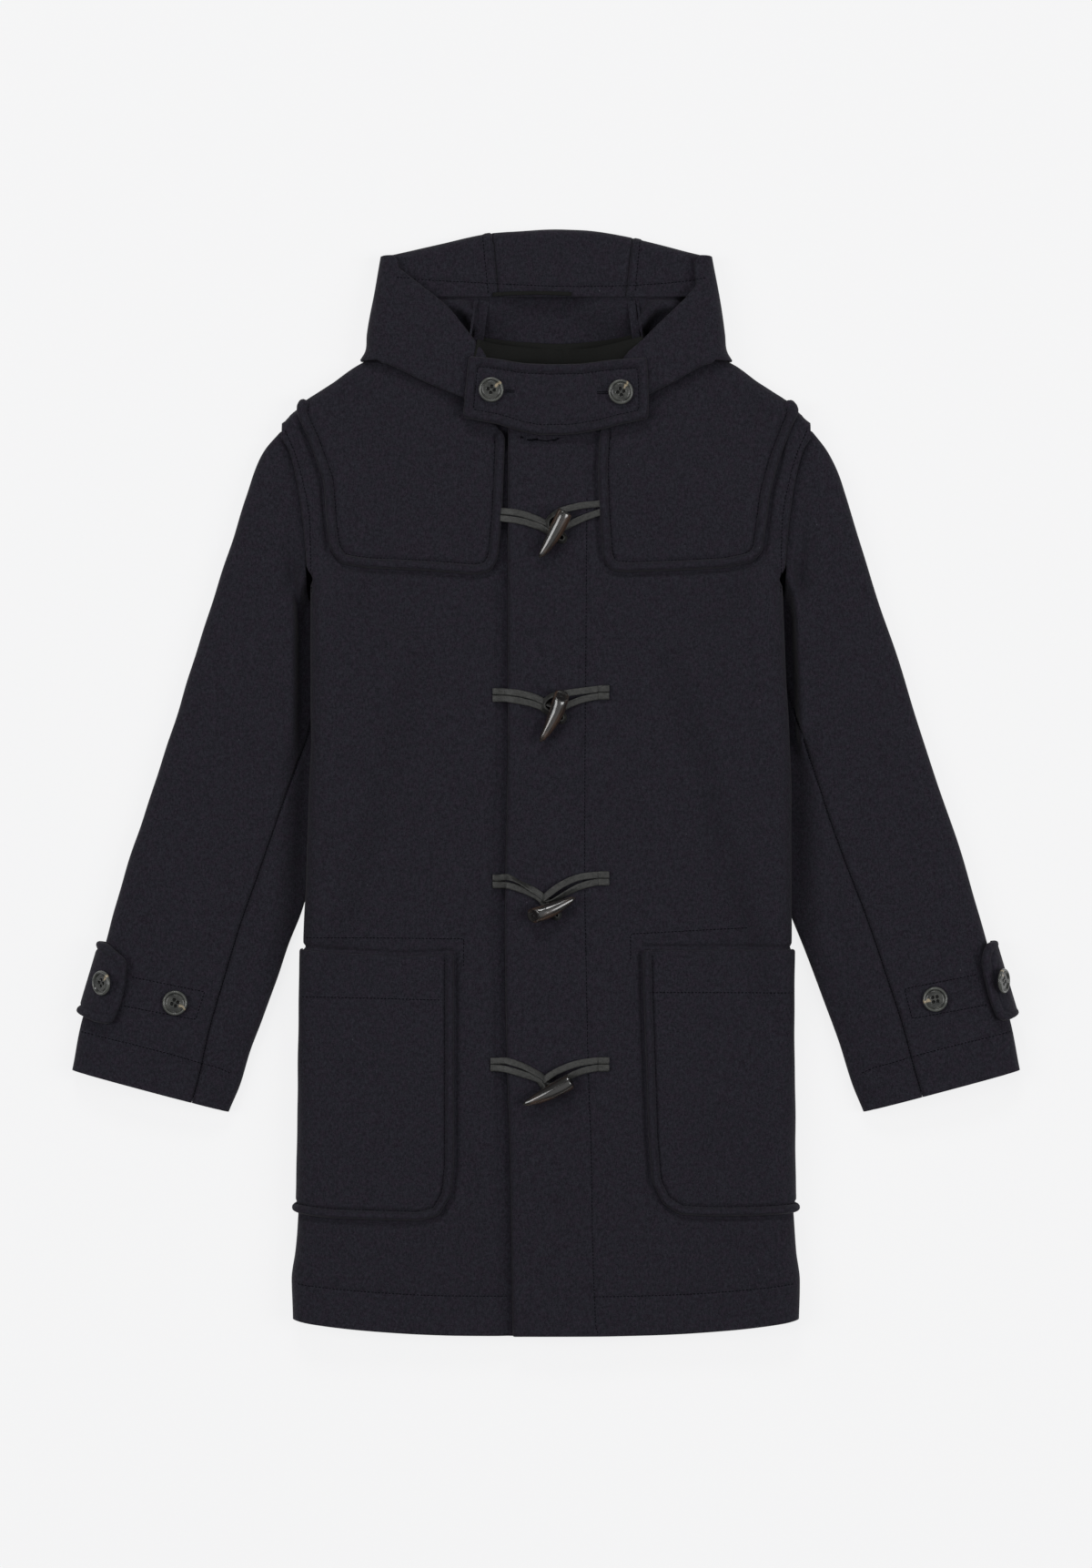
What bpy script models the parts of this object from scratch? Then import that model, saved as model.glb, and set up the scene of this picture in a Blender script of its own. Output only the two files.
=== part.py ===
"""A duffle coat of heavy navy melton, laid out flat on its back with the hood folded.

Every cut piece is a closed wall of cloth. Lengths are millimetres until a mesh is made.
+Z is up, +Y runs from the hem to the hood, and +X is the wearer's left. "Out" is the
distance from the centre line of the coat, the same on both sides.
"""
import bpy
import numpy as np
from math import atan2, cos, hypot, pi, radians, sin
from mathutils import Vector
from mathutils.geometry import tessellate_polygon

MM = 0.001
MIDDLE_Y = 0.75         # middle of the coat's length, which becomes the origin

# Driving dimensions
CLOTH = 2.6             # thickness of one layer of melton
SEAM_GAP = 0.3          # clearance where two pieces meet
LAYER = CLOTH + SEAM_GAP
SIDE_ROLL = 17.0        # outer radius of the body's side, where it rolls under
TUCK = 60.0             # how far the side seam lies in under the body
BODY_TOP = 28.0         # height of the fronts between centre and side
PLACKET_RISE = 2.0      # extra height of the overlapping fronts
OVERLAP_DROP = 6.2      # the under front lies this much lower beneath the placket
SLEEVE_THIN = 9.4       # thickness of the sleeve where the body lies on it
SLEEVE_LIFT = 9.8       # how far the body is raised there
SLEEVE_FOLD = 11.5      # radius of the sleeve's outer fold
SHOULDER_FOLD = 9.5     # radius of the shoulder fold under the yoke
YOKE_TO_ARMHOLE = 230.0
HEM_Y = -516.5
HEM_CURVE = 15.0        # how far the hem rises towards the side
NECK_POINT = 100.0      # where the shoulder line meets the neckline
SHOULDER_SLANT = 0.84   # cosine of the shoulder line's slope
HOOD_FOLD = 9.0         # radius of the fold over the top of the hood
FLAP_HIGH = 34.3        # height of the hood's side flaps at the throat
FLAP_LOW = 25.0         # and at the top corners
FLAP_LIP = 4.0          # width of the rounded lip along the flaps' folded front edge
FLAP_DIP = 1.4          # and how far it dips
CUFF_TAB_THICK = 5.0
SEAM_STEP = 3.6         # rise of the backs over the fronts' side seams
TAB_THICK = 4.6
TAB_HIGH = 34.9         # underside of the throat tab over the hood
TAB_LOW = 31.4          # and over the placket
BUTTON_RADIUS = 11.7
BUTTON_THICK = 3.6
STRAP = 5.6             # width of a leather thong
STRAP_THICK = 1.8
EYE_RADIUS = 8.5        # of the loop's eye, at the middle of the thong
CORD_RADIUS = 3.4       # of the bend in the cord that carries the toggle
EYE_NARROWS = 0.4       # taken off each side of the cord at that bend
TOGGLE_RADIUS = 6.3

# Half width of the body: y, right side, left side
SIDES = (
    (-517, 237.0, 237.0),
    (-476, 238.0, 238.0),
    (-442, 234.5, 234.5),
    (-402, 232.0, 232.0),
    (-300, 230.0, 230.5),
    (-153, 227.5, 229.5),
    (-34, 222.5, 229.5),
    (47, 219.8, 227.4),
    (136, 219.8, 223.4),
    (187, 221.0, 221.0),
)

# Front edge of the armhole, where the body laps over the sleeve: y, out
ARMHOLE = (
    (187, 221),
    (225, 225),
    (263, 231),
    (300, 240),
    (315, 246),
    (332, 253),
)

# Outer edge of the front yoke: y, out
YOKE_SIDE = (
    (187, 203),
    (218, 201.5),
    (243, 205),
    (282, 209),
    (321, 222),
    (340, 230),
)

# Free front edge of the overlapping left front: y, x
PLACKET = (
    (-517, -30.8),
    (-426, -32.1),
    (-345, -33.5),
    (-263, -36.2),
    (-127, -38.1),
    (45, -35.2),
    (335, -35.2),
)

# Top of the fronts: out, y. Neckline first, then the shoulder line from NECK_POINT on
NECKLINE = (
    (0, 335),
    (35, 338),
    (60, 360),
    (80, 390),
    (100, 421),
)
SHOULDER = (
    (100, 421),
    (132, 408),
    (175, 389.6),
    (201.5, 370.6),
    (232.5, 350.6),
    (253, 331.5),
)

# Top of the backs inside the neck: out, y
BACK_NECK = (
    (0, 409),
    (50, 411.6),
    (100, 421),
)

# Sleeve's inner fold and outer fold: y, out
SLEEVE_INNER = (
    (-308.4, 297),
    (-284, 287),
    (-244, 275),
    (-199.5, 258.5),
    (-154, 242),
    (-118.6, 228),
    (0, 192),
    (130, 155),
)
SLEEVE_OUTER = (
    (-268.4, 444.7),
    (-221, 434.5),
    (-149, 413),
    (-119.5, 405),
    (-83, 394.5),
    (-30, 377.5),
    (33, 356),
    (104, 334),
    (168, 313),
    (226.5, 294),
    (269, 281.5),
    (294, 273),
    (313, 263),
    (329, 250),
)

# Sleeve head, from the underarm to the shoulder: share of the way, out, y
HEAD_TOP = (
    (0.00, 155, 130),
    (0.10, 178, 139),
    (0.20, 200, 150),
    (0.28, 215, 161),
    (0.36, 224, 172),
    (0.44, 225, 189),
    (0.55, 226, 218),
    (0.70, 231, 260),
    (0.85, 238.5, 296),
    (1.00, 250, 329),
)
HEAD_UNDER = (
    (0.00, 155, 130),
    (0.12, 182, 139),
    (0.25, 204, 152),
    (0.34, 215, 166),
    (0.42, 217, 187),
    (0.54, 215.5, 215),
    (0.70, 217, 250),
    (0.85, 229, 288),
    (1.00, 250, 329),
)

# Seam on the sleeve's top, between upper and under sleeve, as a share of the width
# from the inner fold: share of the length, right sleeve, left sleeve
SLEEVE_SEAM = (
    (0.00, 0.16, 0.22),
    (0.25, 0.24, 0.33),
    (0.55, 0.29, 0.37),
    (0.80, 0.27, 0.38),
    (1.00, 0.23, 0.37),
)
UNDER_SEAM = 0.72       # place of the hind-arm seam on the sleeve's underside

# Outline of the hood's folded top: x, y
HOOD_TOP = (
    (-155, 492.6),
    (-101, 505),
    (-54, 515.3),
    (-13, 517),
    (17, 518),
    (34, 515.6),
    (81, 509.6),
    (132.6, 498),
    (156, 492.6),
)
CROWN_HEM = 455.6

# Seams between the hood's centre strip and its sides, in the lower layer: y, x, x
HOOD_SEAMS = (
    (409, -62, 85),
    (456, -56, 79.5),
    (515, -50, 81),
)
# The same seams on the crown, which is folded forward
CROWN_SEAMS = (
    (455, -44.5, 74.5),
    (488, -47.3, 78),
    (515, -50, 81),
)

# Outer side of the hood: y, out on the right, out on the left
HOOD_SIDES = (
    (396, 174.0, 175.0),
    (404, 169.5, 170.5),
    (420, 168.0, 168.5),
    (465, 160.0, 161.0),
    (493, 154.5, 155.5),
)

# Folded front edges of the hood, throat to top corner: y, out on the right, on the left
HOOD_FRONT = (
    (350, 46, 62),
    (375, 49, 66),
    (400.6, 57, 75),
    (414, 67, 90),
    (429, 79, 105),
    (443, 90, 119),
    (453.5, 101.5, 130),
    (466, 117.5, 141),
    (478, 133, 151),
    (489, 146, 160),
)
# Lower edge of the hood's flaps, lying on the yoke: out, y
FLAP_HEM = (
    (50, 350),
    (80, 359),
    (113, 371),
    (148, 386),
    (171, 391),
    (175, 396),
)

# Outline of the throat tab: x, lower y, upper y
TAB = (
    (-75, 343, 396),
    (-64, 338, 399),
    (-46, 334.5, 396.5),
    (-7, 325, 391.5),
    (26, 325.5, 391),
    (52, 330, 393.5),
    (71, 335, 396.5),
    (86, 337.5, 398),
    (95, 342, 396),
)

# Buttons: name, x, y, lean outwards in degrees, height where it doesn't lie flat
BUTTONS = (
    ("button_throat_right", -51.1, 366.8, 0, None),
    ("button_throat_left", 69.7, 364.7, 0, None),
    ("button_sleeve_right", -346.5, -205.3, 0, None),
    ("button_sleeve_left", 363.4, -201.9, 0, None),
    ("button_tab_right", -416.0, -186.7, -40, 38.2),
    ("button_tab_left", 427.4, -185.0, 60, 34.0),
)

# Toggle fastenings, top to bottom. For each toggle the middle of its blunt end and its
# tip; then the outer ends of its cord and of the loop, and the middle of the loop's eye
TOGGLES = (
    ((19.0, 254.0), (-5.3, 212.0), (-40.0, 250.0), (47.5, 256.0), (4.0, 238.5)),
    ((15.3, 83.7), (-3.7, 40.5), (-49.5, 82.0), (58.0, 84.0), (4.0, 68.0)),
    ((-15.3, -125.0), (25.5, -108.0), (-49.5, -92.0), (58.0, -89.0), (6.0, -112.0)),
    ((23.8, -277.5), (-19.6, -299.0), (-51.0, -263.0), (58.0, -262.5), (3.0, -284.0)),
)

for old in list(bpy.data.objects):
    bpy.data.objects.remove(old, do_unlink=True)


def finish(name, colour, roughness):
    """A plain material of one colour."""
    material = bpy.data.materials.new(name)
    material.use_nodes = True
    shader = material.node_tree.nodes["Principled BSDF"]
    shader.inputs["Base Color"].default_value = (*colour, 1)
    shader.inputs["Roughness"].default_value = roughness
    return material


MELTON = finish("melton", (0.011, 0.011, 0.017), 0.95)
LEATHER = finish("leather", (0.010, 0.010, 0.011), 0.45)
HORN = finish("horn", (0.030, 0.014, 0.008), 0.22)
BUTTON = finish("button", (0.020, 0.020, 0.022), 0.3)


def mix(a, b, share):
    return a + (b - a) * share


def ease(start, end, at):
    """0 before start, 1 after end, and a smooth rise between them."""
    share = min(max((at - start) / (end - start), 0.0), 1.0)
    return share * share * (3 - 2 * share)


def read(table, at, column=1):
    """A column of a table, read along its first column on a smooth curve."""
    keys = np.array([row[0] for row in table], float)
    values = np.array([row[column] for row in table], float)
    steps = np.diff(values) / np.diff(keys)
    slopes = np.concatenate((steps[:1], (steps[:-1] + steps[1:]) / 2, steps[-1:]))
    turns = np.flatnonzero(steps[:-1] * steps[1:] <= 0) + 1
    slopes[turns] = 0
    at = min(max(at, keys[0]), keys[-1])
    k = min(int(np.searchsorted(keys, at, side="right")) - 1, len(keys) - 2)
    span = keys[k + 1] - keys[k]
    t = (at - keys[k]) / span
    return float(
        values[k] * (1 + 2 * t) * (1 - t) ** 2
        + values[k + 1] * t * t * (3 - 2 * t)
        + span * t * (1 - t) * (slopes[k] * (1 - t) - slopes[k + 1] * t)
    )


def read_straight(table, at):
    """A table's second column on straight lines."""
    return float(np.interp(at, [row[0] for row in table], [row[1] for row in table]))


def normals(grid):
    """Normals at a grid of points, long enough to move its facets by one unit."""
    one = grid[1:, 1:] - grid[:-1, :-1]
    other = grid[1:, :-1] - grid[:-1, 1:]
    facets = np.cross(one, other)
    facets /= np.linalg.norm(facets, axis=2, keepdims=True)
    for axis in (0, 1):
        facets = np.swapaxes(facets, 0, axis)
        first, last = facets[:1], facets[-1:]
        if len(facets) > 1:
            first, last = 2 * first - facets[1:2], 2 * last - facets[-2:-1]
        facets = np.swapaxes(np.concatenate((first, facets, last)), 0, axis)
    total = facets[1:, 1:] + facets[:-1, :-1] + facets[1:, :-1] + facets[:-1, 1:]
    length = np.linalg.norm(total, axis=2, keepdims=True)
    return total / length * np.minimum(4 / length, 1.2)


def moved(grid, distance):
    """The grid moved along its normals."""
    return grid + normals(grid) * distance


def solid(name, vertices, faces, material, smooth=True):
    """An object from millimetre points and faces."""
    mesh = bpy.data.meshes.new(name)
    points = [(float(x) * MM, float(y) * MM, float(z) * MM) for x, y, z in vertices]
    mesh.from_pydata(points, [], faces)
    mesh.materials.append(material)
    mesh.validate()
    mesh.update()
    if smooth:
        mesh.shade_smooth()
        mesh.set_sharp_from_angle(angle=radians(40))
    piece = bpy.data.objects.new(name, mesh)
    piece.location = (0, -MIDDLE_Y * MM, 0)
    bpy.context.scene.collection.objects.link(piece)
    return piece


def wall(name, outer, inner=None, material=MELTON, thick=CLOTH, mirrored=False, turned=0):
    """A closed wall of cloth. Its outer face passes through a grid of points.

    mirrored says that the grid's normals point into the cloth's inner side. In the
    first columns, as many as turned says, facets are split along the other diagonal.
    """
    outer = np.asarray(outer, float)
    if inner is None:
        inner = moved(outer, thick if mirrored else -thick)
    rows, columns = outer.shape[:2]
    vertices = np.concatenate((outer.reshape(-1, 3), inner.reshape(-1, 3)))
    other = rows * columns
    faces = []
    for i in range(rows - 1):
        for j in range(columns - 1):
            a = i * columns + j
            b = a + columns
            halves = ((a, a + 1, b + 1), (a, b + 1, b))
            if j < turned:
                halves = ((a, a + 1, b), (a + 1, b + 1, b))
            for corner in halves:
                faces.append(corner)
                faces.append(tuple(other + v for v in reversed(corner)))
    rim = [j for j in range(columns)]
    rim += [i * columns + columns - 1 for i in range(1, rows)]
    rim += [(rows - 1) * columns + j for j in range(columns - 2, -1, -1)]
    rim += [i * columns for i in range(rows - 2, 0, -1)]
    for a, b in zip(rim, rim[1:] + rim[:1]):
        if a < b:
            faces += [(b, a, other + b), (a, other + a, other + b)]
        else:
            faces += [(b, a, other + a), (b, other + a, other + b)]
    if mirrored:
        faces = [tuple(reversed(face)) for face in faces]
    return solid(name, vertices, faces, material)


# ---------------------------------------------------------------- the body

def half_width(side, y):
    """Out from the centre to the body's side. side is 1 on the left, -1 on the right."""
    return read(SIDES, y, 2 if side > 0 else 1)


def hem_rise(out):
    return HEM_CURVE * min(abs(out) / 236, 1) ** 3


def sleeve_start(y):
    """Out to the first part of the sleeve under the body."""
    if y <= 130:
        return read(SLEEVE_INNER, y)
    return mix(155, 223, ease(125, 172, y))


def lift(out, y):
    """How far the body is raised where its side lies on the sleeve."""
    start = sleeve_start(y)
    return SLEEVE_LIFT * ease(start - 62, start - 21, out) * (1 - ease(168, 222, y))


def fold_radius(out):
    """Outer radius of the shoulder fold without the yoke."""
    return SHOULDER_FOLD + 2 * ease(YOKE_TO_ARMHOLE, 250, out)


def fold_height(out):
    """Height of the middle of the shoulder fold: the back yoke lies beneath it."""
    return fold_radius(out) + LAYER * (1 - ease(YOKE_TO_ARMHOLE, 250, out))


def front_height(side, out, y):
    """Height of the outer face of a front."""
    span = abs(out)
    edge = half_width(side, y) - SIDE_ROLL
    crest = 2 * SIDE_ROLL - 3 * ease(190, 225, y)
    height = mix(BODY_TOP, crest, ease(edge - 75, edge, span))
    height += PLACKET_RISE * (1 - ease(45, 85, span))
    below = read(SHOULDER, span) - y
    shoulder = fold_height(span) + fold_radius(span)
    height = mix(height, shoulder, 1 - ease(16, 150, below))
    if side < 0:
        height -= OVERLAP_DROP * (1 - ease(42, 95, out))
    return height + lift(span, y)


FLAT_UNDER = TUCK - SIDE_ROLL
SIDE_ARC = pi * SIDE_ROLL
SIDE_STEPS = (0, 0.25 * FLAT_UNDER, 0.5 * FLAT_UNDER, FLAT_UNDER) + tuple(
    FLAT_UNDER + SIDE_ARC * k / 5 for k in range(1, 6)
)


def side_point(side, y, arc):
    """Out and height on the rolled side, from the side seam (arc 0) to the crest."""
    edge = half_width(side, y) - SIDE_ROLL
    if arc <= FLAT_UNDER:
        out = edge - FLAT_UNDER + arc
        return out, lift(out, y)
    angle = (arc - FLAT_UNDER) / SIDE_ROLL - pi / 2
    out = edge + SIDE_ROLL * cos(angle)
    return out, SIDE_ROLL + SIDE_ROLL * sin(angle) + lift(out, y)


UNDERARM = 130          # y of the underarm point
HEM_ROWS = (-516.5, -503, -480, -440)
LOW_ROWS = HEM_ROWS + (
    -404, -372, -300, -225, -157, -110, -60, 0, 60, 105, 130, 145, 158, 170, 180, 190, 203
)
TOP_SHARES = (0.12, 0.32, 0.56, 0.8, 1.0)
FOLD_ANGLES = (60, 30, 2.5)
PATCH_TOP = 8           # LOW_ROWS places of the pocket's top and bottom
PATCH_BOTTOM = 4
PATCH_INNER = 12        # column of the pocket's inner edge
YOKE_BOTTOM = len(LOW_ROWS) - 1
CREST = len(SIDE_STEPS) - 1


def front_top(span):
    """y of a front's top edge, less the fold over the shoulder."""
    if span < NECK_POINT:
        return read(NECKLINE, span) - fold_radius(span) / SHOULDER_SLANT
    return read(SHOULDER, span) - fold_radius(span) / SHOULDER_SLANT


def front_row(side, y, inner):
    """One row of a front in the lower part: out and height, from the side seam on."""
    row = []
    cut = min(max((y - UNDERARM) / 60, 0), 1)
    first = cut * (FLAT_UNDER + 0.72 * SIDE_ARC)
    last = SIDE_STEPS[-1]
    flatten = ease(186, 203, y)
    for k, step in enumerate(SIDE_STEPS):
        low = side_point(side, y, mix(first, last, step / last) if cut else step)
        out = mix(read(ARMHOLE, y), read(YOKE_SIDE, y), k / CREST)
        row.append((
            mix(low[0], out, flatten),
            mix(low[1], front_height(side, out, y), flatten),
        ))
    crest = row[-1][0]
    for out in inner(y, crest):
        row.append((out, front_height(side, out, y)))
    return row


def left_columns(y, crest):
    """Out of the left front's columns inside the crest. The fifth is the yoke's edge."""
    return (mix(crest, 92, 0.25), mix(crest, 92, 0.62), 92, 70, 50, 22, -8, read(PLACKET, y))


def right_columns(y, crest):
    """The same on the right front, which ends beneath the placket."""
    return (mix(crest, 88, 0.25), mix(crest, 88, 0.62), 88, 64, 42, 24, 0, -28)


def front_grid(side, inner):
    """Points of a front's outer face, from hem to shoulder and from side to centre."""
    grid = []
    for y in LOW_ROWS:
        fade = 1 - ease(HEM_Y, -405, y)
        row = front_row(side, y, inner)
        grid.append([(side * out, y + hem_rise(out) * fade, z) for out, z in row])
    base = LOW_ROWS[-1]
    for share in TOP_SHARES:
        y_side = mix(base, 318, share)
        edges = (read(ARMHOLE, y_side), read(YOKE_SIDE, mix(base, 338, share)))
        outs = [mix(edges[0], edges[1], k / CREST) for k in range(CREST + 1)]
        outs += list(inner(y_side, outs[-1]))
        line = []
        for out in outs:
            y = mix(base, front_top(abs(out)), share)
            line.append((side * out, y, front_height(side, out, y)))
        grid.append(line)
    for angle in FOLD_ANGLES:
        line = []
        for out in outs:
            span = abs(out)
            radius = fold_radius(span)
            y = front_top(span) + radius * cos(radians(angle)) / SHOULDER_SLANT
            flat = front_height(side, out, y)
            bent = fold_height(span) + radius * sin(radians(angle))
            line.append((side * out, y, mix(flat, bent, ease(NECK_POINT, 114, span))))
        grid.append(line)
    return np.array(grid)


front_left = front_grid(1, left_columns)
front_right = front_grid(-1, right_columns)
wall("front_left", front_left, mirrored=True)
wall("front_right", front_right)

# The facing is cut like the placket and lies beneath it, down to the hem
FACING_COLUMN = PATCH_INNER + 1
facing_rows = len(LOW_ROWS) + len(TOP_SHARES)
facing = moved(front_left, LAYER)[:facing_rows, FACING_COLUMN:]
wall("facing_left", facing, mirrored=True)

# Patch pockets lie on the fronts and turn with them round the side
POCKET_OUTER = 5
for name, grid, sign in (("pocket_left", front_left, -1), ("pocket_right", front_right, 1)):
    patch = moved(grid, sign * LAYER)[PATCH_BOTTOM:PATCH_TOP + 1, POCKET_OUTER:PATCH_INNER]
    wall(name, patch, mirrored=sign < 0)

# The front yokes cover the shoulders and turn over the fold
YOKE_INNER = CREST + 5
for name, grid, sign in (("yoke_left", front_left, -1), ("yoke_right", front_right, 1)):
    patch = moved(grid, sign * LAYER)[YOKE_BOTTOM:, CREST:YOKE_INNER + 1]
    wall(name, patch, mirrored=sign < 0)


# ------------------------------------------------------------- the backs

# Outer edge of the back panel below the armhole lies on the front's side seam
BACK_EDGE = (
    (130, 183),
    (170, 198),
    (187, 205),
    (203, 212),
    (240, 214),
    (270, 220),
    (300, 233),
    (332, 253),
)


def back_height(side, out, y):
    """Height of the back's outer face: it lies on the floor, the seam or the yoke."""
    seam = half_width(side, y) - TUCK
    on_seam = ease(seam - 12, seam, out) * (y < 205)
    on_yoke = ease(200, 210, y) * (1 - ease(YOKE_TO_ARMHOLE, 250, out))
    return lift(out, y) + max(SEAM_STEP * on_seam, LAYER * on_yoke)


def back_outs(side, y):
    """Out of the back's columns, from its outer edge to the centre seam."""
    seam = half_width(side, y) - TUCK
    edge = seam + FLAT_UNDER / 2 if y < UNDERARM else read(BACK_EDGE, y)
    return (edge, mix(edge, seam, 0.5), seam, seam - 12, 125, NECK_POINT, 50, SEAM_GAP / 2)


def back_top(span):
    edge = read_straight(BACK_NECK, span) if span < NECK_POINT else read(SHOULDER, span)
    return edge - fold_radius(span) / SHOULDER_SLANT


def back_grid(side):
    """Points of a back's outer face, which is its lower one."""
    grid = []
    for y in LOW_ROWS:
        fade = 1 - ease(HEM_Y, -405, y)
        grid.append([
            (side * out, y + hem_rise(out) * fade, back_height(side, out, y))
            for out in back_outs(side, y)
        ])
    base = LOW_ROWS[-1]
    for share in TOP_SHARES:
        edges = read(BACK_EDGE, mix(base, 318, share)), read(YOKE_SIDE, mix(base, 338, share))
        outs = edges + back_outs(side, base)[2:]
        line = []
        for out in outs:
            y = mix(base, back_top(out), share)
            line.append((side * out, y, back_height(side, out, max(y, 210))))
        grid.append(line)
    for angle in FOLD_ANGLES:
        line = []
        for out in outs:
            radius = fold_radius(out)
            y = back_top(out) + radius * cos(radians(angle)) / SHOULDER_SLANT
            flat = back_height(side, out, 300)
            bent = fold_height(out) - radius * sin(radians(angle))
            line.append((side * out, y, mix(flat, bent, ease(NECK_POINT, 114, out))))
        grid.append(line)
    return np.array(grid)


back_left = back_grid(1)
back_right = back_grid(-1)
BACK_COLUMNS = back_left.shape[1]
wall("back_left", back_left, turned=BACK_COLUMNS)
wall("back_right", back_right, mirrored=True, turned=BACK_COLUMNS)

# One back yoke lies under both backs, from armhole to armhole
def below_backs(distance):
    """Both backs' upper parts in one grid, moved down and out by a distance."""
    halves = []
    for grid, sign in ((back_right, -1), (back_left, 1)):
        low = moved(grid, sign * distance)
        level = np.abs(grid[:, :, 0]) <= NECK_POINT
        low[level] = grid[level] - (0, 0, distance)
        halves.append(low[len(LOW_ROWS):, 1:])
    halves[0][:, -1, 0] = 0
    both = np.concatenate((halves[0], halves[1][:, -2::-1]), axis=1)
    both[:, :, 2] = np.maximum(both[:, :, 2], LAYER - distance)
    return both


wall("yoke_back", below_backs(LAYER), below_backs(SEAM_GAP), mirrored=True,
     turned=BACK_COLUMNS - 2)


# ------------------------------------------------------------ the sleeves

ROLL_ANGLES = (54, 18, -18, -54, -90)
SLEEVE_ROWS = (-1, 0, 0.035, 0.08, 0.15, 0.23, 0.32, 0.43, 0.55, 0.66, 0.75, 0.80, 0.853, 0.907,
               0.955, 1.0)
TAB_ROWS = slice(11, 14)
TOP_COLUMNS = {-1: (0.45, 0.63, 0.83, 0.875), 1: (0.5, 0.63, 0.76, 0.865)}
CUFF_TAB_START = {-1: 5, 1: 7}
CUFF_TAB_STAND = {-1: 3.2, 1: 5.0}      # how far the loose tabs stand off the sleeve
HEAD_SHARE = 0.4        # share of the sleeve over which the head's curve fades out


def sleeve_plan(share, along, table):
    """Out and y on a sleeve: share goes across it, along goes from head to cuff."""
    lap = along < 0
    along = max(along, 0)
    y_in, y_out = mix(130, -308.4, along), mix(329, -268.4, along)
    x_in, x_out = read(SLEEVE_INNER, y_in), read(SLEEVE_OUTER, y_out)
    out, y = mix(x_in, x_out, share), mix(y_in, y_out, share)
    fade = max(1 - along / HEAD_SHARE, 0) ** 2
    out += fade * (read(table, share, 1) - mix(155, 250, share))
    y += fade * (read(table, share, 2) - mix(130, 329, share))
    if lap:
        covered = (205, 228) if table is HEAD_TOP else (256, 275)
        reach = 1 + 7 * ease(*covered, y)
        slant = radians(33) * share ** 2
        out, y = out - reach * cos(slant), y + reach * sin(slant)
    return out, y


def sleeve_top(side, share, along):
    """Height of the sleeve's upper face."""
    out, y = sleeve_plan(share, along, HEAD_TOP)
    fat = 2 * (SLEEVE_FOLD + 2 * ease(0.55, 0.85, along))
    height = mix(18, fat, share) + 30 * share * (1 - share)
    edge = half_width(side, y)
    pinch = (1 - ease(edge + 1, edge + 30, out)) * (1 - ease(150, 215, y))
    height = mix(height, SLEEVE_THIN, pinch)
    if along > 0.12:
        return height
    out, y = sleeve_plan(share, 0, HEAD_TOP)
    under_front = front_height(side, read(ARMHOLE, y), y) - CLOTH - 2.5
    head = mix(SLEEVE_THIN, under_front, ease(165, 205, y))
    return mix(head, height, ease(0, 0.12, along))


def sleeve_base(share, along):
    """Height of the sleeve's lower face, which starts on the back and then lies down."""
    out, y = sleeve_plan(share, min(along, 0), HEAD_UNDER)
    head = LAYER * (1 - ease(YOKE_TO_ARMHOLE, 250, out)) + CLOTH + 1.5
    return head * ease(222, 252, y) * (1 - ease(0.0, 0.06, along))


def sleeve_point(side, along, place):
    """A point on the sleeve's outer face. place is a share of its top or underside, or
    an angle round one of its folds."""
    kind, value = place
    width = 150.0
    if kind in ("top", "base"):
        table = HEAD_TOP if kind == "top" else HEAD_UNDER
        out, y = sleeve_plan(value, along, table)
        z = sleeve_top(side, value, along) if kind == "top" else sleeve_base(value, along)
        return side * out, y, z
    outer = kind == "outer"
    end = 1.0 if outer else 0.0
    high, low = sleeve_top(side, end, along), sleeve_base(end, along)
    radius = (high - low) / 2
    angle = radians(value)
    inset = radius * (1 - cos(angle)) / width
    share = 1 - inset if outer else inset
    upper = sleeve_plan(share, along, HEAD_TOP)
    lower = sleeve_plan(share, along, HEAD_UNDER)
    weight = (1 - sin(angle)) / 2
    return (
        side * mix(upper[0], lower[0], weight),
        mix(upper[1], lower[1], weight),
        (high + low) / 2 + radius * sin(angle),
    )


def split(outer, inner, first, last):
    """Columns of a wall between two seams, each end drawn in by half the seam's gap."""
    parts = []
    for grid in (outer[:, first:last + 1].copy(), inner[:, first:last + 1].copy()):
        for end, beside in ((0, 1), (-1, -2)):
            step = grid[:, beside] - grid[:, end]
            step /= np.linalg.norm(step, axis=1, keepdims=True)
            grid[:, end] += step * SEAM_GAP / 2
        parts.append(grid)
    return parts


def top_seam(side, along):
    return read(SLEEVE_SEAM, along, 2 if side > 0 else 1)


def beside_body(side, along, seam):
    """Share of the sleeve's width where it comes out from under the body."""
    y_in, y_out = mix(130, -308.4, along), mix(329, -268.4, along)
    x_in, x_out = read(SLEEVE_INNER, y_in), read(SLEEVE_OUTER, y_out)
    share = (half_width(side, y_in) + 1 - x_in) / (x_out - x_in)
    return min(max(share, 0.06), seam - 0.05)


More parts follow.
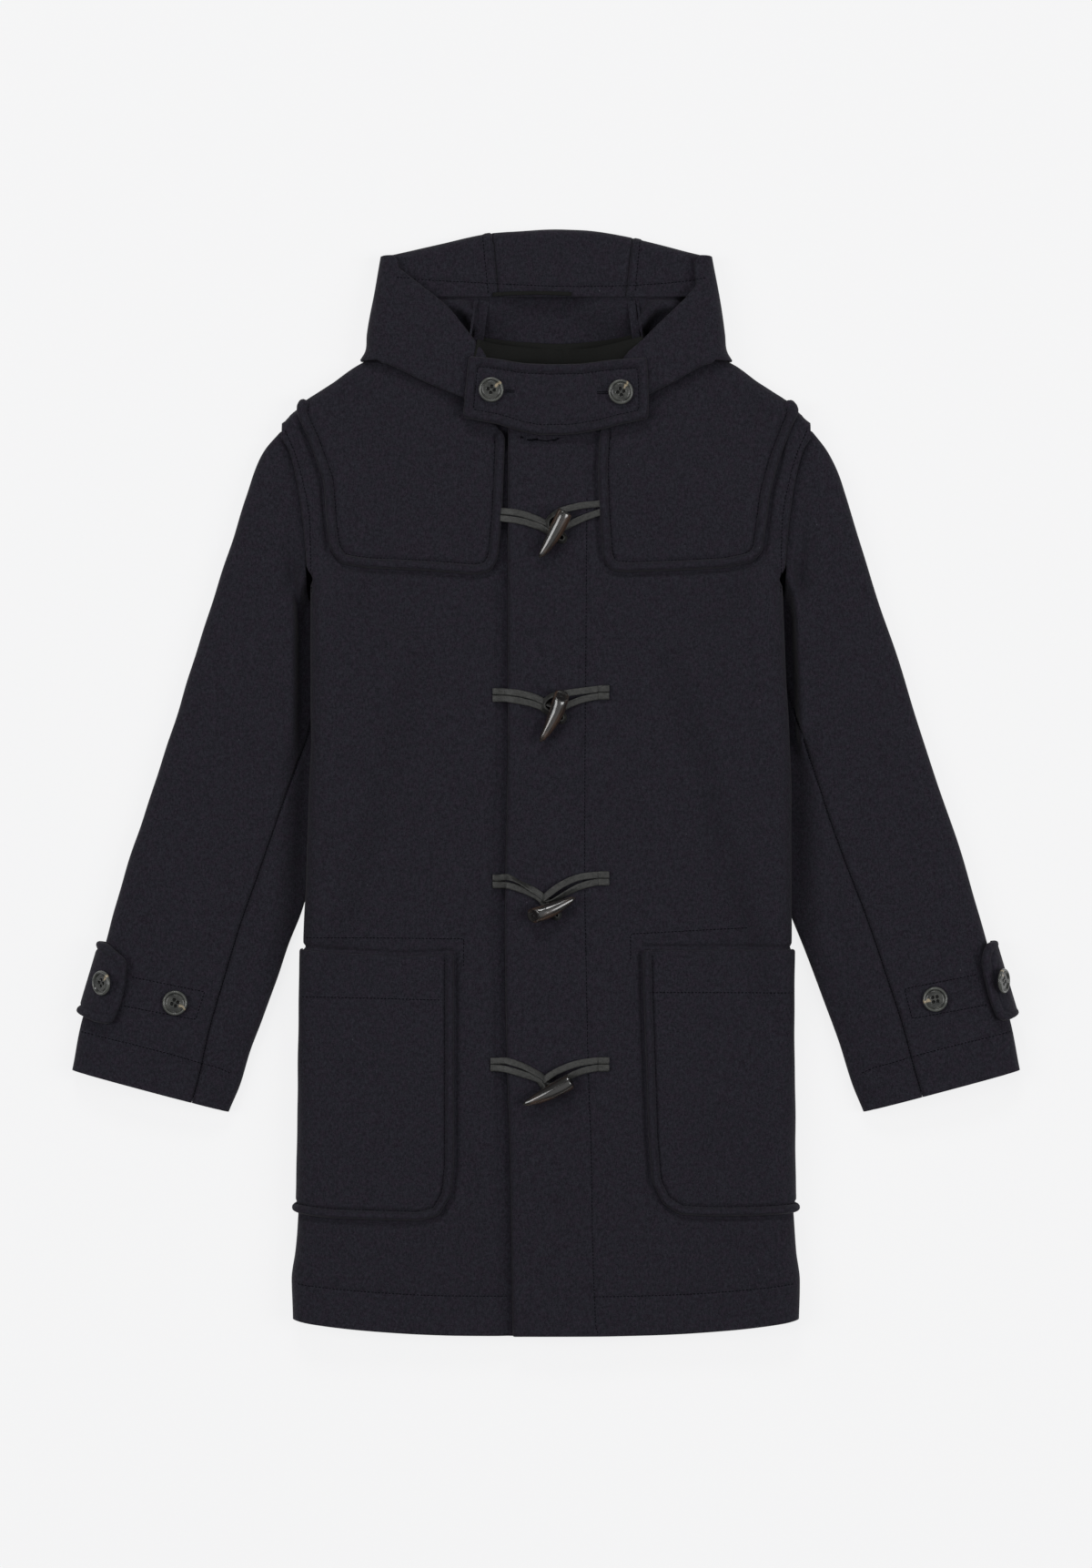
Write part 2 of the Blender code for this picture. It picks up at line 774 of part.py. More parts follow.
sleeve_faces = {}
for name, side in (("left", 1), ("right", -1)):
    loop = []
    for along in SLEEVE_ROWS:
        seam = top_seam(side, max(along, 0))
        beside = beside_body(side, max(along, 0), seam)
        bends = [mix(seam, TOP_COLUMNS[side][0], v) for v in (0, 0.33, 0.66)]
        places = [("top", v) for v in bends + list(TOP_COLUMNS[side])]
        places += [("outer", v) for v in (90,) + ROLL_ANGLES]
        places += [("base", v) for v in (UNDER_SEAM, 0.5, 0.28)]
        places += [("inner", v) for v in (-90, -54, -18, 18, 54, 90)]
        places += [("top", beside), ("top", seam)]
        loop.append([sleeve_point(side, along, place) for place in places])
    loop = np.array(loop)
    # Normals at the top seam are shared by its two sides
    around = np.concatenate((loop[:, -2:-1], loop, loop[:, 1:2]), axis=1)
    inner = moved(around, side * CLOTH)[:, 1:-1]
    hind = 3 + len(TOP_COLUMNS[side]) + len(ROLL_ANGLES)
    wall(f"sleeve_{name}_upper", *split(loop, inner, 0, hind), mirrored=side > 0)
    wall(f"sleeve_{name}_under", *split(loop, inner, hind, loop.shape[1] - 1), mirrored=side > 0)
    # The cuff tab comes round the outer fold and ends on top, under its button
    start = CUFF_TAB_START[side]
    stand = CUFF_TAB_THICK + CUFF_TAB_STAND[side]
    tab = moved(loop, -side * stand)[TAB_ROWS, start:11]
    wall(f"cuff_tab_{name}", tab, thick=CUFF_TAB_THICK, mirrored=side > 0)
    sleeve_faces[side] = loop


# --------------------------------------------------------------- the hood

HOOD_SHARES = (0, 0.2, 0.4, 0.6, 0.8, 1.0)
HOOD_RISE = (-54, -27, -1.6)
FLAP_PLACES = (0.3, 0.65, 1.0)
ROLL_RISE = 0.45        # rise of the side's roll beside that of the fold over the top
# y on each row of a hood's side: at its roll, and at its folded front edge
HOOD_ROWS = ((397.5, 350), (414, 388), (431, 418), (448, 441), (464, 458), (480, 474.5),
             (485, 480), (489, 484.5), (493, 488))
HOOD_HAIR = 0.4         # each side of the hood's seams


def hood_low(x):
    """y of the hood's lower edge: the back neck seam, then just outside the shoulders."""
    span = abs(x)
    if span < NECK_POINT:
        return read_straight(BACK_NECK, span) + 0.6
    return read(SHOULDER, span) + mix(0.6, LAYER / SHOULDER_SLANT + 3.2, ease(100, 108, span))


def hood_side(side):
    """Points of a hood side's outer face: back, roll and front flap."""
    column = 2 if side > 0 else 1
    grid = []
    shares = HOOD_SHARES + tuple(1.0 for _ in HOOD_RISE)
    bends = tuple(-90 for _ in HOOD_SHARES) + HOOD_RISE
    for share, bend, (y_roll, y_front) in zip(shares, bends, HOOD_ROWS):
        place = (y_roll - HOOD_ROWS[0][0]) / (HOOD_ROWS[-1][0] - HOOD_ROWS[0][0])
        base = HOOD_FOLD + HOOD_FOLD * sin(radians(bend))
        beyond = HOOD_FOLD * cos(radians(bend))
        flap = mix(FLAP_HIGH, FLAP_LOW, ease(0.2, 1, place))
        low = base * ROLL_RISE
        radius = (flap - low) / 2
        roll = read(HOOD_SIDES, y_roll, column) - radius
        line = []
        for part in (0, 0.28, 0.5, 0.75, 1):
            x = mix(read(HOOD_SEAMS, mix(413, 506, share), column), side * roll, part)
            x += side * HOOD_HAIR * (part == 0)
            y = mix(hood_low(x), read(HOOD_TOP, x) - HOOD_FOLD, share) + beyond
            line.append((x, mix(y, y_roll, part ** 4), mix(base, low, part ** 4)))
        for angle in (-54, -18, 18, 54, 90):
            x = side * (roll + radius * cos(radians(angle)))
            line.append((x, y_roll, low + radius + radius * sin(radians(angle))))
        front = min(read(HOOD_FRONT, y_front, column), roll - 6)
        reach = hypot(front - roll, y_front - y_roll)
        lip = min(FLAP_LIP, 0.45 * reach) / reach
        for part in FLAP_PLACES:
            part *= 1 - lip
            out = mix(roll, front, part)
            straight = mix(396, 350, (174 - out) / 124)
            shape = (read(FLAP_HEM, out) - straight) * (1 - place) ** 3
            line.append((side * out, mix(y_roll, y_front, part) + shape, flap))
        line.append((side * front, y_front, flap - FLAP_DIP))
        grid.append(line)
    return np.array(grid)


def crown(columns):
    """Points of the crown: up over the hood's top fold and forward to its hem."""
    grid = []
    for angle in (1.6, 27, 54, 90):
        line = []
        for x_at in columns:
            x = x_at(515)
            y = read(HOOD_TOP, x) - HOOD_FOLD + HOOD_FOLD * cos(radians(angle))
            line.append((x, y, HOOD_FOLD + HOOD_FOLD * sin(radians(angle))))
        grid.append(line)
    for share in (0.25, 0.5, 0.75, 1):
        line = []
        for x_at in columns:
            x = x_at(mix(506, CROWN_HEM, share))
            y = mix(read(HOOD_TOP, x) - HOOD_FOLD, CROWN_HEM, share)
            line.append((x, y, 2 * HOOD_FOLD - 0.3 * share))
        grid.append(line)
    return np.array(grid)


def crown_seam(index, beyond):
    return lambda y: read(CROWN_SEAMS, y, index) + beyond


for name, side, index in (("right", -1, 1), ("left", 1, 2)):
    wall(f"hood_{name}", hood_side(side), mirrored=side > 0)
    seam = crown_seam(index, side * HOOD_HAIR)
    columns = [lambda y, p=p, s=side, a=seam: mix(a(y), s * mix(126, 146, ease(455, 505, y)), p)
               for p in (0, 0.35, 0.7, 1)]
    wall(f"hood_crown_{name}", crown(columns), mirrored=side > 0)

# The centre strip runs from the back of the neck up and over the crown
strip = []
STRIP_PLACES = (0, 0.17, 0.34, 0.5, 0.66, 0.83, 1)
for share in HOOD_SHARES:
    line = []
    for part in STRIP_PLACES:
        y = mix(413, 506, share)
        x = mix(read(HOOD_SEAMS, y, 1) + 0.15, read(HOOD_SEAMS, y, 2) - 0.15, part)
        line.append((x, mix(hood_low(x), read(HOOD_TOP, x) - HOOD_FOLD, share), 0.0))
    strip.append(line)
for angle in HOOD_RISE[:-1]:
    line = []
    for x, _, _ in strip[len(HOOD_SHARES) - 1]:
        y = read(HOOD_TOP, x) - HOOD_FOLD + HOOD_FOLD * cos(radians(angle))
        line.append((x, y, HOOD_FOLD + HOOD_FOLD * sin(radians(angle))))
    strip.append(line)
columns = [
    lambda y, p=p: mix(read(CROWN_SEAMS, y, 1) + 0.15, read(CROWN_SEAMS, y, 2) - 0.15, p)
    for p in STRIP_PLACES
]
strip = np.concatenate((np.array(strip), crown(columns)))
wall("hood_center", strip, mirrored=True)


# ----------------------------------------------------- throat tab, buttons

def tab_height(x):
    sides = max(ease(-28, -42, x) if x < 0 else 0, ease(44, 58, x))
    return mix(TAB_LOW, TAB_HIGH, sides) + TAB_THICK


tab = []
for part in (0, 0.5, 1):
    tab.append([(x, mix(low, high, part), tab_height(x)) for x, low, high in TAB])
wall("throat_tab", tab, thick=TAB_THICK)


def button(name, place, tilt, height):
    """A four-hole button with a raised rim. tilt leans it outwards about its y axis."""
    sides = 14
    rings = ((10.4, 0.0), (BUTTON_RADIUS, 1.4), (10.8, BUTTON_THICK), (8.6, BUTTON_THICK - 0.4),
             (7.6, 2.0))
    vertices = [
        (r * cos(2 * pi * k / sides), r * sin(2 * pi * k / sides), z)
        for r, z in rings for k in range(sides)
    ]
    faces = []
    for ring in range(len(rings) - 1):
        for k in range(sides):
            a, b = ring * sides + k, ring * sides + (k + 1) % sides
            faces.append((a, b, b + sides, a + sides))
    holes = []
    for hole in range(4):
        centre = pi / 4 + hole * pi / 2
        start = len(vertices)
        for z in (0.0, 2.0):
            for k in range(6):
                turn = k * pi / 3 + centre + 0.2
                vertices.append((3.3 * cos(centre) + 1.15 * cos(turn),
                                 3.3 * sin(centre) + 1.15 * sin(turn), z))
        holes.append(start)
        for k in range(6):
            a, b = start + k, start + (k + 1) % 6
            faces.append((b, a, a + 6, b + 6))
    for level, top in ((0, False), (1, True)):
        edge = (len(rings) - 1) * sides if top else 0
        loops = [list(range(edge, edge + sides))]
        loops += [list(range(s + 6 * level, s + 6 * level + 6)) for s in holes]
        order = [v for loop in loops for v in loop]
        for triangle in tessellate_polygon([[Vector(vertices[v]) for v in loop] for loop in loops]):
            a, b, c = (order[i] for i in triangle)
            turn = (Vector(vertices[b]) - Vector(vertices[a])).cross(
                Vector(vertices[c]) - Vector(vertices[a])).z
            faces.append((a, b, c) if (turn > 0) == top else (a, c, b))
    piece = solid(name, vertices, faces, BUTTON)
    piece.location = (place[0] * MM, (place[1] - MIDDLE_Y) * MM, height * MM)
    piece.rotation_euler = (0, radians(tilt), 0)
    return piece


def highest(grid, x, y, reach=24):
    """Height of the top of a grid near a place."""
    near = np.hypot(grid[:, :, 0] - x, grid[:, :, 1] - y) < reach
    return float(grid[:, :, 2][near].max())


for name, x, y, lean, base in BUTTONS:
    if "throat" in name:
        base = tab_height(x) + SEAM_GAP
    elif "sleeve" in name:
        base = highest(sleeve_faces[1 if x > 0 else -1], x, y) + SEAM_GAP
    button(name, (x, y), lean, base)


# ---------------------------------------------------- thongs and toggles

def support(x, y):
    """Height of what a thong lies on."""
    over = front_height(1, x, y)
    under = front_height(-1, -x, y)
    return mix(under, over, ease(-52, -45, x))


def thong(name, start, eye, radius, rise):
    """A flat thong: out from its sewn end, round an eye and back beside itself."""
    away = atan2(eye[1] - start[1], eye[0] - start[0])
    ahead = (cos(away), sin(away))
    left = (-sin(away), cos(away))
    reach = hypot(eye[0] - start[0], eye[1] - start[1])
    apart = STRAP / 2 + 0.25
    legs = [(mix(0, reach - radius * 1.3, k / 5), mix(apart, max(apart, radius * 0.75), (k / 5) ** 3))
            for k in range(6)]
    turn = [(reach + radius * cos(radians(a)), radius * sin(radians(a)))
            for a in (115, 80, 45, 0, -45, -80, -115)]
    path = legs + turn + [(a, -b) for a, b in reversed(legs)]
    path = [(start[0] + ahead[0] * a + left[0] * b, start[1] + ahead[1] * a + left[1] * b)
            for a, b in path]
    grid = []
    for k, (x, y) in enumerate(path):
        before, after = path[max(k - 1, 0)], path[min(k + 1, len(path) - 1)]
        length = hypot(after[0] - before[0], after[1] - before[1])
        across = ((after[1] - before[1]) / length, -(after[0] - before[0]) / length)
        along = min(hypot(x - start[0], y - start[1]) / reach, 1)
        half = STRAP / 2 - (EYE_NARROWS if radius == CORD_RADIUS and along > 0.7 else 0)
        z = max(support(x + across[0] * s * half, y) for s in (-1, 0, 1)) + 0.4 + STRAP_THICK
        z += rise * ease(0.25, 0.7, along)
        grid.append([(x - across[0] * half, y - across[1] * half, z),
                     (x + across[0] * half, y + across[1] * half, z)])
    return wall(name, grid, material=LEATHER, thick=STRAP_THICK)


# The horn from its blunt end to its tip: share of the length, share of the radius
HORN_SHAPE = (
    (0.00, 0.82),
    (0.03, 1.00),
    (0.30, 1.04),
    (0.55, 0.92),
    (0.78, 0.66),
    (0.93, 0.38),
    (1.00, 0.14),
)


def toggle(name, blunt, tip, base):
    """A horn toggle lying on its side."""
    sides = 10
    vertices, faces = [], []
    axis = Vector((tip[0] - blunt[0], tip[1] - blunt[1], 0))
    across = Vector((-axis.y, axis.x, 0)).normalized()
    for share, size in HORN_SHAPE:
        radius = TOGGLE_RADIUS * size
        middle = Vector((blunt[0], blunt[1], base + TOGGLE_RADIUS * 1.04)) + axis * share
        for k in range(sides):
            angle = 2 * pi * k / sides
            vertices.append(middle + (across * cos(angle) + Vector((0, 0, sin(angle)))) * radius)
    for ring in range(len(HORN_SHAPE) - 1):
        for k in range(sides):
            a, b = ring * sides + k, ring * sides + (k + 1) % sides
            faces.append((a, b, b + sides, a + sides))
    faces.append(tuple(reversed(range(sides))))
    faces.append(tuple(range(len(vertices) - sides, len(vertices))))
    return solid(name, vertices, faces, HORN)


for k, (blunt, tip, cord_end, loop_end, eye) in enumerate(TOGGLES, 1):
    thong(f"cord_{k}", cord_end, eye, CORD_RADIUS, 0.0)
    thong(f"loop_{k}", loop_end, eye, EYE_RADIUS, STRAP_THICK + 0.6)
    base = support(*eye) + 2 * STRAP_THICK + 1.6
    toggle(f"toggle_{k}", blunt, tip, base)
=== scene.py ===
"""The looks of a duffle coat of navy melton, laid out flat on its back.

Lengths are millimetres until a mesh is made. +Z is up, +Y runs from the hem to the hood,
and +X is the wearer's left. "Out" is the distance from the coat's centre line.
"""
from math import cos, hypot, pi, radians, sin, tan

import bpy
import numpy as np
from mathutils import Matrix, Vector
from mathutils.bvhtree import BVHTree
from mathutils.geometry import delaunay_2d_cdt


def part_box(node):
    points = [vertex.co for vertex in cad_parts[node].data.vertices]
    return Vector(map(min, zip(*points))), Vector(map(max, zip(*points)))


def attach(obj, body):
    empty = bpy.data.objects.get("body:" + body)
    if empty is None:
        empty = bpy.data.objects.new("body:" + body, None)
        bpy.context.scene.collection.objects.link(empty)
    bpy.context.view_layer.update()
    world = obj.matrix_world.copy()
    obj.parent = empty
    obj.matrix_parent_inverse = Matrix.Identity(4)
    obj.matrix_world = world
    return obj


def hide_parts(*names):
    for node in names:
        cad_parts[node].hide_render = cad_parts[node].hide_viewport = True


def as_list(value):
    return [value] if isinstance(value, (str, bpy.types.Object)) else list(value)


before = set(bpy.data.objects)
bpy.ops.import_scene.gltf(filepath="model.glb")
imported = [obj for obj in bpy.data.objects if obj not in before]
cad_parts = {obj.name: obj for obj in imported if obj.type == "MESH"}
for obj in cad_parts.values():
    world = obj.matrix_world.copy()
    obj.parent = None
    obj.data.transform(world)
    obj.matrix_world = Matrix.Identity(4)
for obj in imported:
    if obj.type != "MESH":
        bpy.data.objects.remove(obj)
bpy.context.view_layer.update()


# ---------------------------------------------------------------- the melton
# All the coat is cut from one heavy milled wool, a blue that is almost black. Its short
# nap hides the weave: it is matt, faintly heathered, and picks up specks of lint.

class Value:
    """A socket of a finish, as a number that sums are made with."""

    def __init__(self, finish, socket):
        self.finish = finish
        self.socket = socket

    def math(self, operation, *values):
        return self.finish.add("Math", {"operation": operation}, dict(enumerate(values)))

    def __add__(self, other):
        return self.math("ADD", self, other)

    def __sub__(self, other):
        return self.math("SUBTRACT", self, other)

    def __rsub__(self, other):
        return self.math("SUBTRACT", other, self)

    def __mul__(self, other):
        return self.math("MULTIPLY", self, other)

    def __abs__(self):
        return self.math("ABSOLUTE", self)

    __radd__ = __add__
    __rmul__ = __mul__


class Finish:
    """A material under way: its shader, and the nodes that feed it."""

    def __init__(self, name, **fixed):
        self.material = bpy.data.materials.new(name)
        self.material.use_nodes = True
        self.tree = self.material.node_tree
        self.shader = self.tree.nodes["Principled BSDF"]
        for socket, value in fixed.items():
            self.shader.inputs[socket.replace("_", " ")].default_value = value
        self.place = self.add("TexCoord", output="Object")

    def feed(self, socket, value):
        if isinstance(value, Value):
            self.tree.links.new(value.socket, socket)
        else:
            socket.default_value = value

    def add(self, kind, settings=None, values=None, output=0):
        """Any node: its settings first, then the values or links of its sockets."""
        node = self.tree.nodes.new("ShaderNode" + kind)
        for key, setting in (settings or {}).items():
            setattr(node, key, setting)
        for key, value in (values or {}).items():
            self.feed(node.inputs[key], value)
        return Value(self, node.outputs[output])

    def give(self, socket, value):
        """Feed one of the shader's own sockets."""
        self.feed(self.shader.inputs[socket], value)

    def stretched(self, *factors):
        """The place on the piece, with each axis multiplied by a factor."""
        return self.add("VectorMath", {"operation": "MULTIPLY"}, {0: self.place, 1: factors})

    def noise(self, size, detail=2.0, place=None):
        """Even noise around 0.5, with blotches of a size in millimetres."""
        values = {"Vector": place or self.place, "Scale": 1000 / size, "Detail": detail}
        return self.add("TexNoise", {}, values, "Fac")

    def rise(self, value, start, end):
        """0 where the value is below start, and 1 above end."""
        settings = {"interpolation_type": "SMOOTHSTEP"}
        values = {"Value": value, "From Min": start, "From Max": end}
        return self.add("MapRange", settings, values)

    def blend(self, share, one, other):
        """Two colours mixed by a share."""
        return self.add("Mix", {"data_type": "RGBA"}, {0: share, 6: one, 7: other}, 2)

    def relief(self, height, deep):
        """Fine relief, as deep in millimetres where the height goes from 0 to 1."""
        values = {"Height": height, "Distance": deep / 1000, "Strength": 1.0}
        self.give("Normal", self.add("Bump", {}, values))


def melton_finish():
    finish = Finish("melton", Roughness=0.95, Specular_IOR_Level=0.12,
                    Sheen_Weight=0.05, Sheen_Roughness=0.5)
    nap = finish.noise(0.8, 2.0)
    tufts = finish.noise(2.6, 3.0)
    drawn = finish.stretched(1.0, 0.3, 1.0)
    combed = finish.noise(1.1, 1.0, drawn)
    tone = nap * 0.45 + tufts * 0.3 + combed * 0.25
    cloth = finish.blend(finish.rise(tone, 0.36, 0.68),
                         (0.0104, 0.0100, 0.0142, 1), (0.0288, 0.0280, 0.0380, 1))
    heather = finish.rise(finish.noise(7, 3.0), 0.42, 0.62)
    tinted = finish.add("Mix", {"data_type": "RGBA", "blend_type": "MULTIPLY"},
                        {0: heather, 6: cloth, 7: (1.05, 0.92, 0.98, 1)}, 2)
    # Lint: a few pale hairs and specks, each in its own cell
    bent = finish.add("TexNoise", {}, {"Vector": finish.place, "Scale": 160.0}, "Color")
    shifted = finish.add("VectorMath", {"operation": "MULTIPLY_ADD"},
                         {0: bent, 1: (0.006, 0.006, 0.006), 2: finish.place})
    cells = {"Vector": shifted, "Scale": 74.0}
    near = finish.add("TexVoronoi", {}, cells, "Distance")
    pick = finish.add("TexVoronoi", {}, cells, "Color")
    chosen = finish.rise(finish.add("SeparateColor", {}, {0: pick}), 0.72, 0.95)
    speck = (1 - finish.rise(near, 0.020, 0.055)) * chosen
    finish.give("Base Color", finish.blend(speck * 0.5, tinted, (0.13, 0.13, 0.15, 1)))
    finish.relief(nap * 0.5 + tufts * 0.5, 0.4)
    return finish


melton = melton_finish()


# ----------------------------------------------------------------- the backs
# Two back panels, joined down the middle, and one yoke behind the shoulders. They lie
# flat on the floor, and lap over the fronts' side seams inside the rolled sides.

MM = 0.001
BOTH_SIDES = ((1, "left"), (-1, "right"))   # the side along X, and its name on the wearer
MIDDLE_Y = 0.75         # middle of the coat's length, which is the origin
CLOTH = 2.6             # thickness of one layer of melton
SEAM_GAP = 0.3          # clearance where two pieces meet
LAYER = CLOTH + SEAM_GAP
SIDE_ROLL = 17.0        # outer radius of the body's side, where it rolls under
TUCK = 60.0             # how far the side seam lies in under the body
SLEEVE_LIFT = 9.8       # how far the body is raised where it lies on a sleeve
SEAM_STEP = 3.6         # rise of the backs over the fronts' side seams
SHOULDER_FOLD = 9.5     # radius of the shoulder fold under the yoke
YOKE_TO_ARMHOLE = 230.0
UNDERARM = 130.0        # y of the underarm
UNDERARM_OUT = 155      # and how far out it is
ARMHOLE_OUT = 223       # out to the sleeve's start beside the armhole
HEM_Y = -516.5
HEM_CURVE = 15.0        # how far the hem rises towards the side
HEM_HALF = 236          # half the hem's width
HEM_FADE = -405         # y above which the rows run straight across
NECK_POINT = 100.0      # where the shoulder line meets the neckline
FULL_FOLD = 114         # out to where the shoulder fold has its full form
BACK_EDGE_TOP = 318     # y at the shoulder of the backs' outer edge
YOKE_SIDE_TOP = 338     # and of the yokes'
SHOULDER_SLANT = 0.84   # cosine of the shoulder line's slope
FLAT_UNDER = TUCK - SIDE_ROLL
SIDE_ARC = pi * SIDE_ROLL

# Half width of the body: y, right side, left side
SIDES = (
    (-517, 237.0, 237.0),
    (-476, 238.0, 238.0),
    (-442, 234.5, 234.5),
    (-402, 232.0, 232.0),
    (-300, 230.0, 230.5),
    (-153, 227.5, 229.5),
    (-34, 222.5, 229.5),
    (47, 219.8, 227.4),
    (136, 219.8, 223.4),
    (187, 221.0, 221.0),
)

# Inner fold of the sleeve, which lies under the body: y, out
SLEEVE_INNER = (
    (-308.4, 297),
    (-284, 287),
    (-244, 275),
    (-199.5, 258.5),
    (-154, 242),
    (-118.6, 228),
    (0, 192),
    (130, 155),
)

# Shoulder line, back neck, and the outer edge of the back: out, y and y, out
SHOULDER = (
    (100, 421),
    (132, 408),
    (175, 389.6),
    (201.5, 370.6),
    (232.5, 350.6),
    (253, 331.5),
)
BACK_NECK = (
    (0, 409),
    (50, 411.6),
    (100, 421),
)
BACK_EDGE = (
    (130, 183),
    (170, 198),
    (187, 205),
    (203, 212),
    (240, 214),
    (270, 220),
    (300, 233),
    (332, 253),
)

# Outer edge of the yokes: y, out
YOKE_SIDE = (
    (187, 203),
    (218, 201.5),
    (243, 205),
    (282, 209),
    (321, 222),
    (340, 230),
)


def mix(a, b, share):
    """From a at share 0 to b at share 1."""
    return a + (b - a) * share


def ease(start, end, at):
    """0 before start, 1 after end, and a smooth rise between them."""
    share = np.clip((at - start) / (end - start), 0.0, 1.0)
    return share * share * (3 - 2 * share)


def read(table, at, column=1):
    """A column of a table, read along its first column on a smooth curve."""
    keys = np.array([row[0] for row in table], float)
    values = np.array([row[column] for row in table], float)
    steps = np.diff(values) / np.diff(keys)
    slopes = np.concatenate((steps[:1], (steps[:-1] + steps[1:]) / 2, steps[-1:]))
    slopes[1:-1][steps[:-1] * steps[1:] <= 0] = 0
    at = np.clip(at, keys[0], keys[-1])
    k = np.clip(np.searchsorted(keys, at, side="right") - 1, 0, len(keys) - 2)
    span = keys[k + 1] - keys[k]
    t = (at - keys[k]) / span
    return (
        values[k] * (1 + 2 * t) * (1 - t) ** 2
        + values[k + 1] * t * t * (3 - 2 * t)
        + span * t * (1 - t) * (slopes[k] * (1 - t) - slopes[k + 1] * t)
    )


def read_straight(table, at):
    """A table's second column on straight lines."""
    return np.interp(at, [row[0] for row in table], [row[1] for row in table])


def unit(vectors):
    """Vectors of length 1."""
    return vectors / np.linalg.norm(vectors, axis=-1, keepdims=True)


def normals(grid):
    """Unit normals at a grid of points."""
    return unit(np.cross(np.gradient(grid, axis=1), np.gradient(grid, axis=0)))


def curve(points, steps):
    """More points along the first axis, on a smooth curve through those given."""
    points = np.asarray(points, float)
    ends = np.concatenate((2 * points[:1] - points[1:2], points, 2 * points[-1:] - points[-2:-1]))
    a, b, c, d = (ends[k:len(ends) - 3 + k, None] for k in range(4))
    t = (np.arange(steps) / steps).reshape(1, -1, *[1] * (points.ndim - 1))
    fine = b + 0.5 * t * (c - a + t * (2 * a - 5 * b + 4 * c - d + t * (3 * b - a - 3 * c + d)))
    return np.concatenate((fine.reshape(-1, *points.shape[1:]), points[-1:]))


def refine(grid, finer):
    """A finer grid, on smooth curves through the points of a coarse one."""
    return np.swapaxes(curve(np.swapaxes(curve(grid, finer), 0, 1), finer), 0, 1)


def make(name, points, faces, finish, slot, node=None):
    """A smooth mesh from millimetre points, which rides with the coat."""
    mesh = bpy.data.meshes.new(name)
    mesh.from_pydata(((points - (0, MIDDLE_Y, 0)) * MM).tolist(), [], faces)
    mesh.materials.append(finish.material)
    mesh.shade_smooth()
    piece = bpy.data.objects.new(name, mesh)
    bpy.context.scene.collection.objects.link(piece)
    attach(piece, "root")
    if node:
        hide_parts(node)
    return piece


def lay(piece, face, width, length, rests_on):
    """Work out the area of a piece's outer face; the result is not kept."""
    one, other = face[:, 1] - face[:, 0], face[:, 2] - face[:, 0]
    area = np.linalg.norm(np.cross(one, other), axis=1).sum() / 2 * MM ** 2
    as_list(rests_on)


def cloth(node, grid, side, rests_on, relief=0.0, bulge=0.9, inner=None):
    """A closed wall of cloth with rounded edges, whose outer face follows a grid.

    side is 1 where the grid's normals point out of the cloth, and -1 where they point in.
    relief moves the outer face out, bulge rounds the edges, and inner is the inner face.
    """
    out = side * normals(grid)
    outer = grid + out * np.broadcast_to(relief, grid.shape[:2])[..., None]
    inner = grid - out * CLOTH if inner is None else inner
    rows, columns = grid.shape[:2]
    number = np.arange(rows * columns).reshape(rows, columns)
    rim = np.concatenate((number[0, :-1], number[:-1, -1], number[-1, :0:-1], number[:0:-1, 0]))
    near = np.concatenate((number[1, :-1], number[:-1, -2], number[-2, :0:-1], number[:0:-1, 1]))
    outer, inner = outer.reshape(-1, 3), inner.reshape(-1, 3)
    middle = (outer[rim] + inner[rim]) / 2 + unit(outer[rim] - outer[near]) * bulge
    quads = np.stack((number[:-1, :-1], number[:-1, 1:], number[1:, 1:], number[1:, :-1]), -1)
    quads = quads.reshape(-1, 4)
    under = quads[:, ::-1] + rows * columns
    after = np.roll(rim, -1)
    edge = 2 * rows * columns + np.arange(len(rim))
    edge_after = np.roll(edge, -1)
    top = np.stack((after, rim, edge, edge_after), -1)
    low = np.stack((edge_after, edge, rim + rows * columns, after + rows * columns), -1)
    faces = np.concatenate((quads, under, top, low))[:, ::side]
    points = np.concatenate((outer, inner, middle))
    points[:, 2] = np.maximum(points[:, 2], 0.0)
    piece = make(f"{node}_cloth", points, faces.tolist(), melton, "melton", node)
    width = np.linalg.norm(np.diff(grid, axis=1), axis=2).sum(axis=1).max()
    length = np.linalg.norm(np.diff(grid, axis=0), axis=2).sum(axis=0).max()
    halves = np.concatenate((quads[:, :3], quads[:, (0, 2, 3)]))
    lay(piece, grid.reshape(-1, 3)[halves], width, length, rests_on)
    return piece


def column(side):
    """Column of a side's values, where a table gives the right side before the left."""
    return 2 if side > 0 else 1


def half_width(side, y):
    """Out from the centre to the body's side. side is 1 on the left, -1 on the right."""
    return read(SIDES, y, column(side))


def hem_rise(out, y):
    """How far the hem's curve lifts the rows near it."""
    return HEM_CURVE * np.minimum(abs(out) / HEM_HALF, 1) ** 3 * (1 - ease(HEM_Y, HEM_FADE, y))


def sleeve_start(y):
    """Out to the first part of the sleeve under the body."""
    over_head = mix(UNDERARM_OUT, ARMHOLE_OUT, ease(125, 172, y))
    return np.where(y <= UNDERARM, read(SLEEVE_INNER, y), over_head)


def lift(out, y):
    """How far the body is raised where its side lies on the sleeve."""
    start = sleeve_start(y)
    return SLEEVE_LIFT * ease(start - 62, start - 21, out) * (1 - ease(168, 222, y))


def fold_radius(out):
    """Outer radius of the shoulder fold without the yoke."""
    return SHOULDER_FOLD + 2 * ease(YOKE_TO_ARMHOLE, 250, out)


def fold_height(out):
    """Height of the middle of the shoulder fold: the back yoke lies beneath it."""
    return fold_radius(out) + LAYER * (1 - ease(YOKE_TO_ARMHOLE, 250, out))


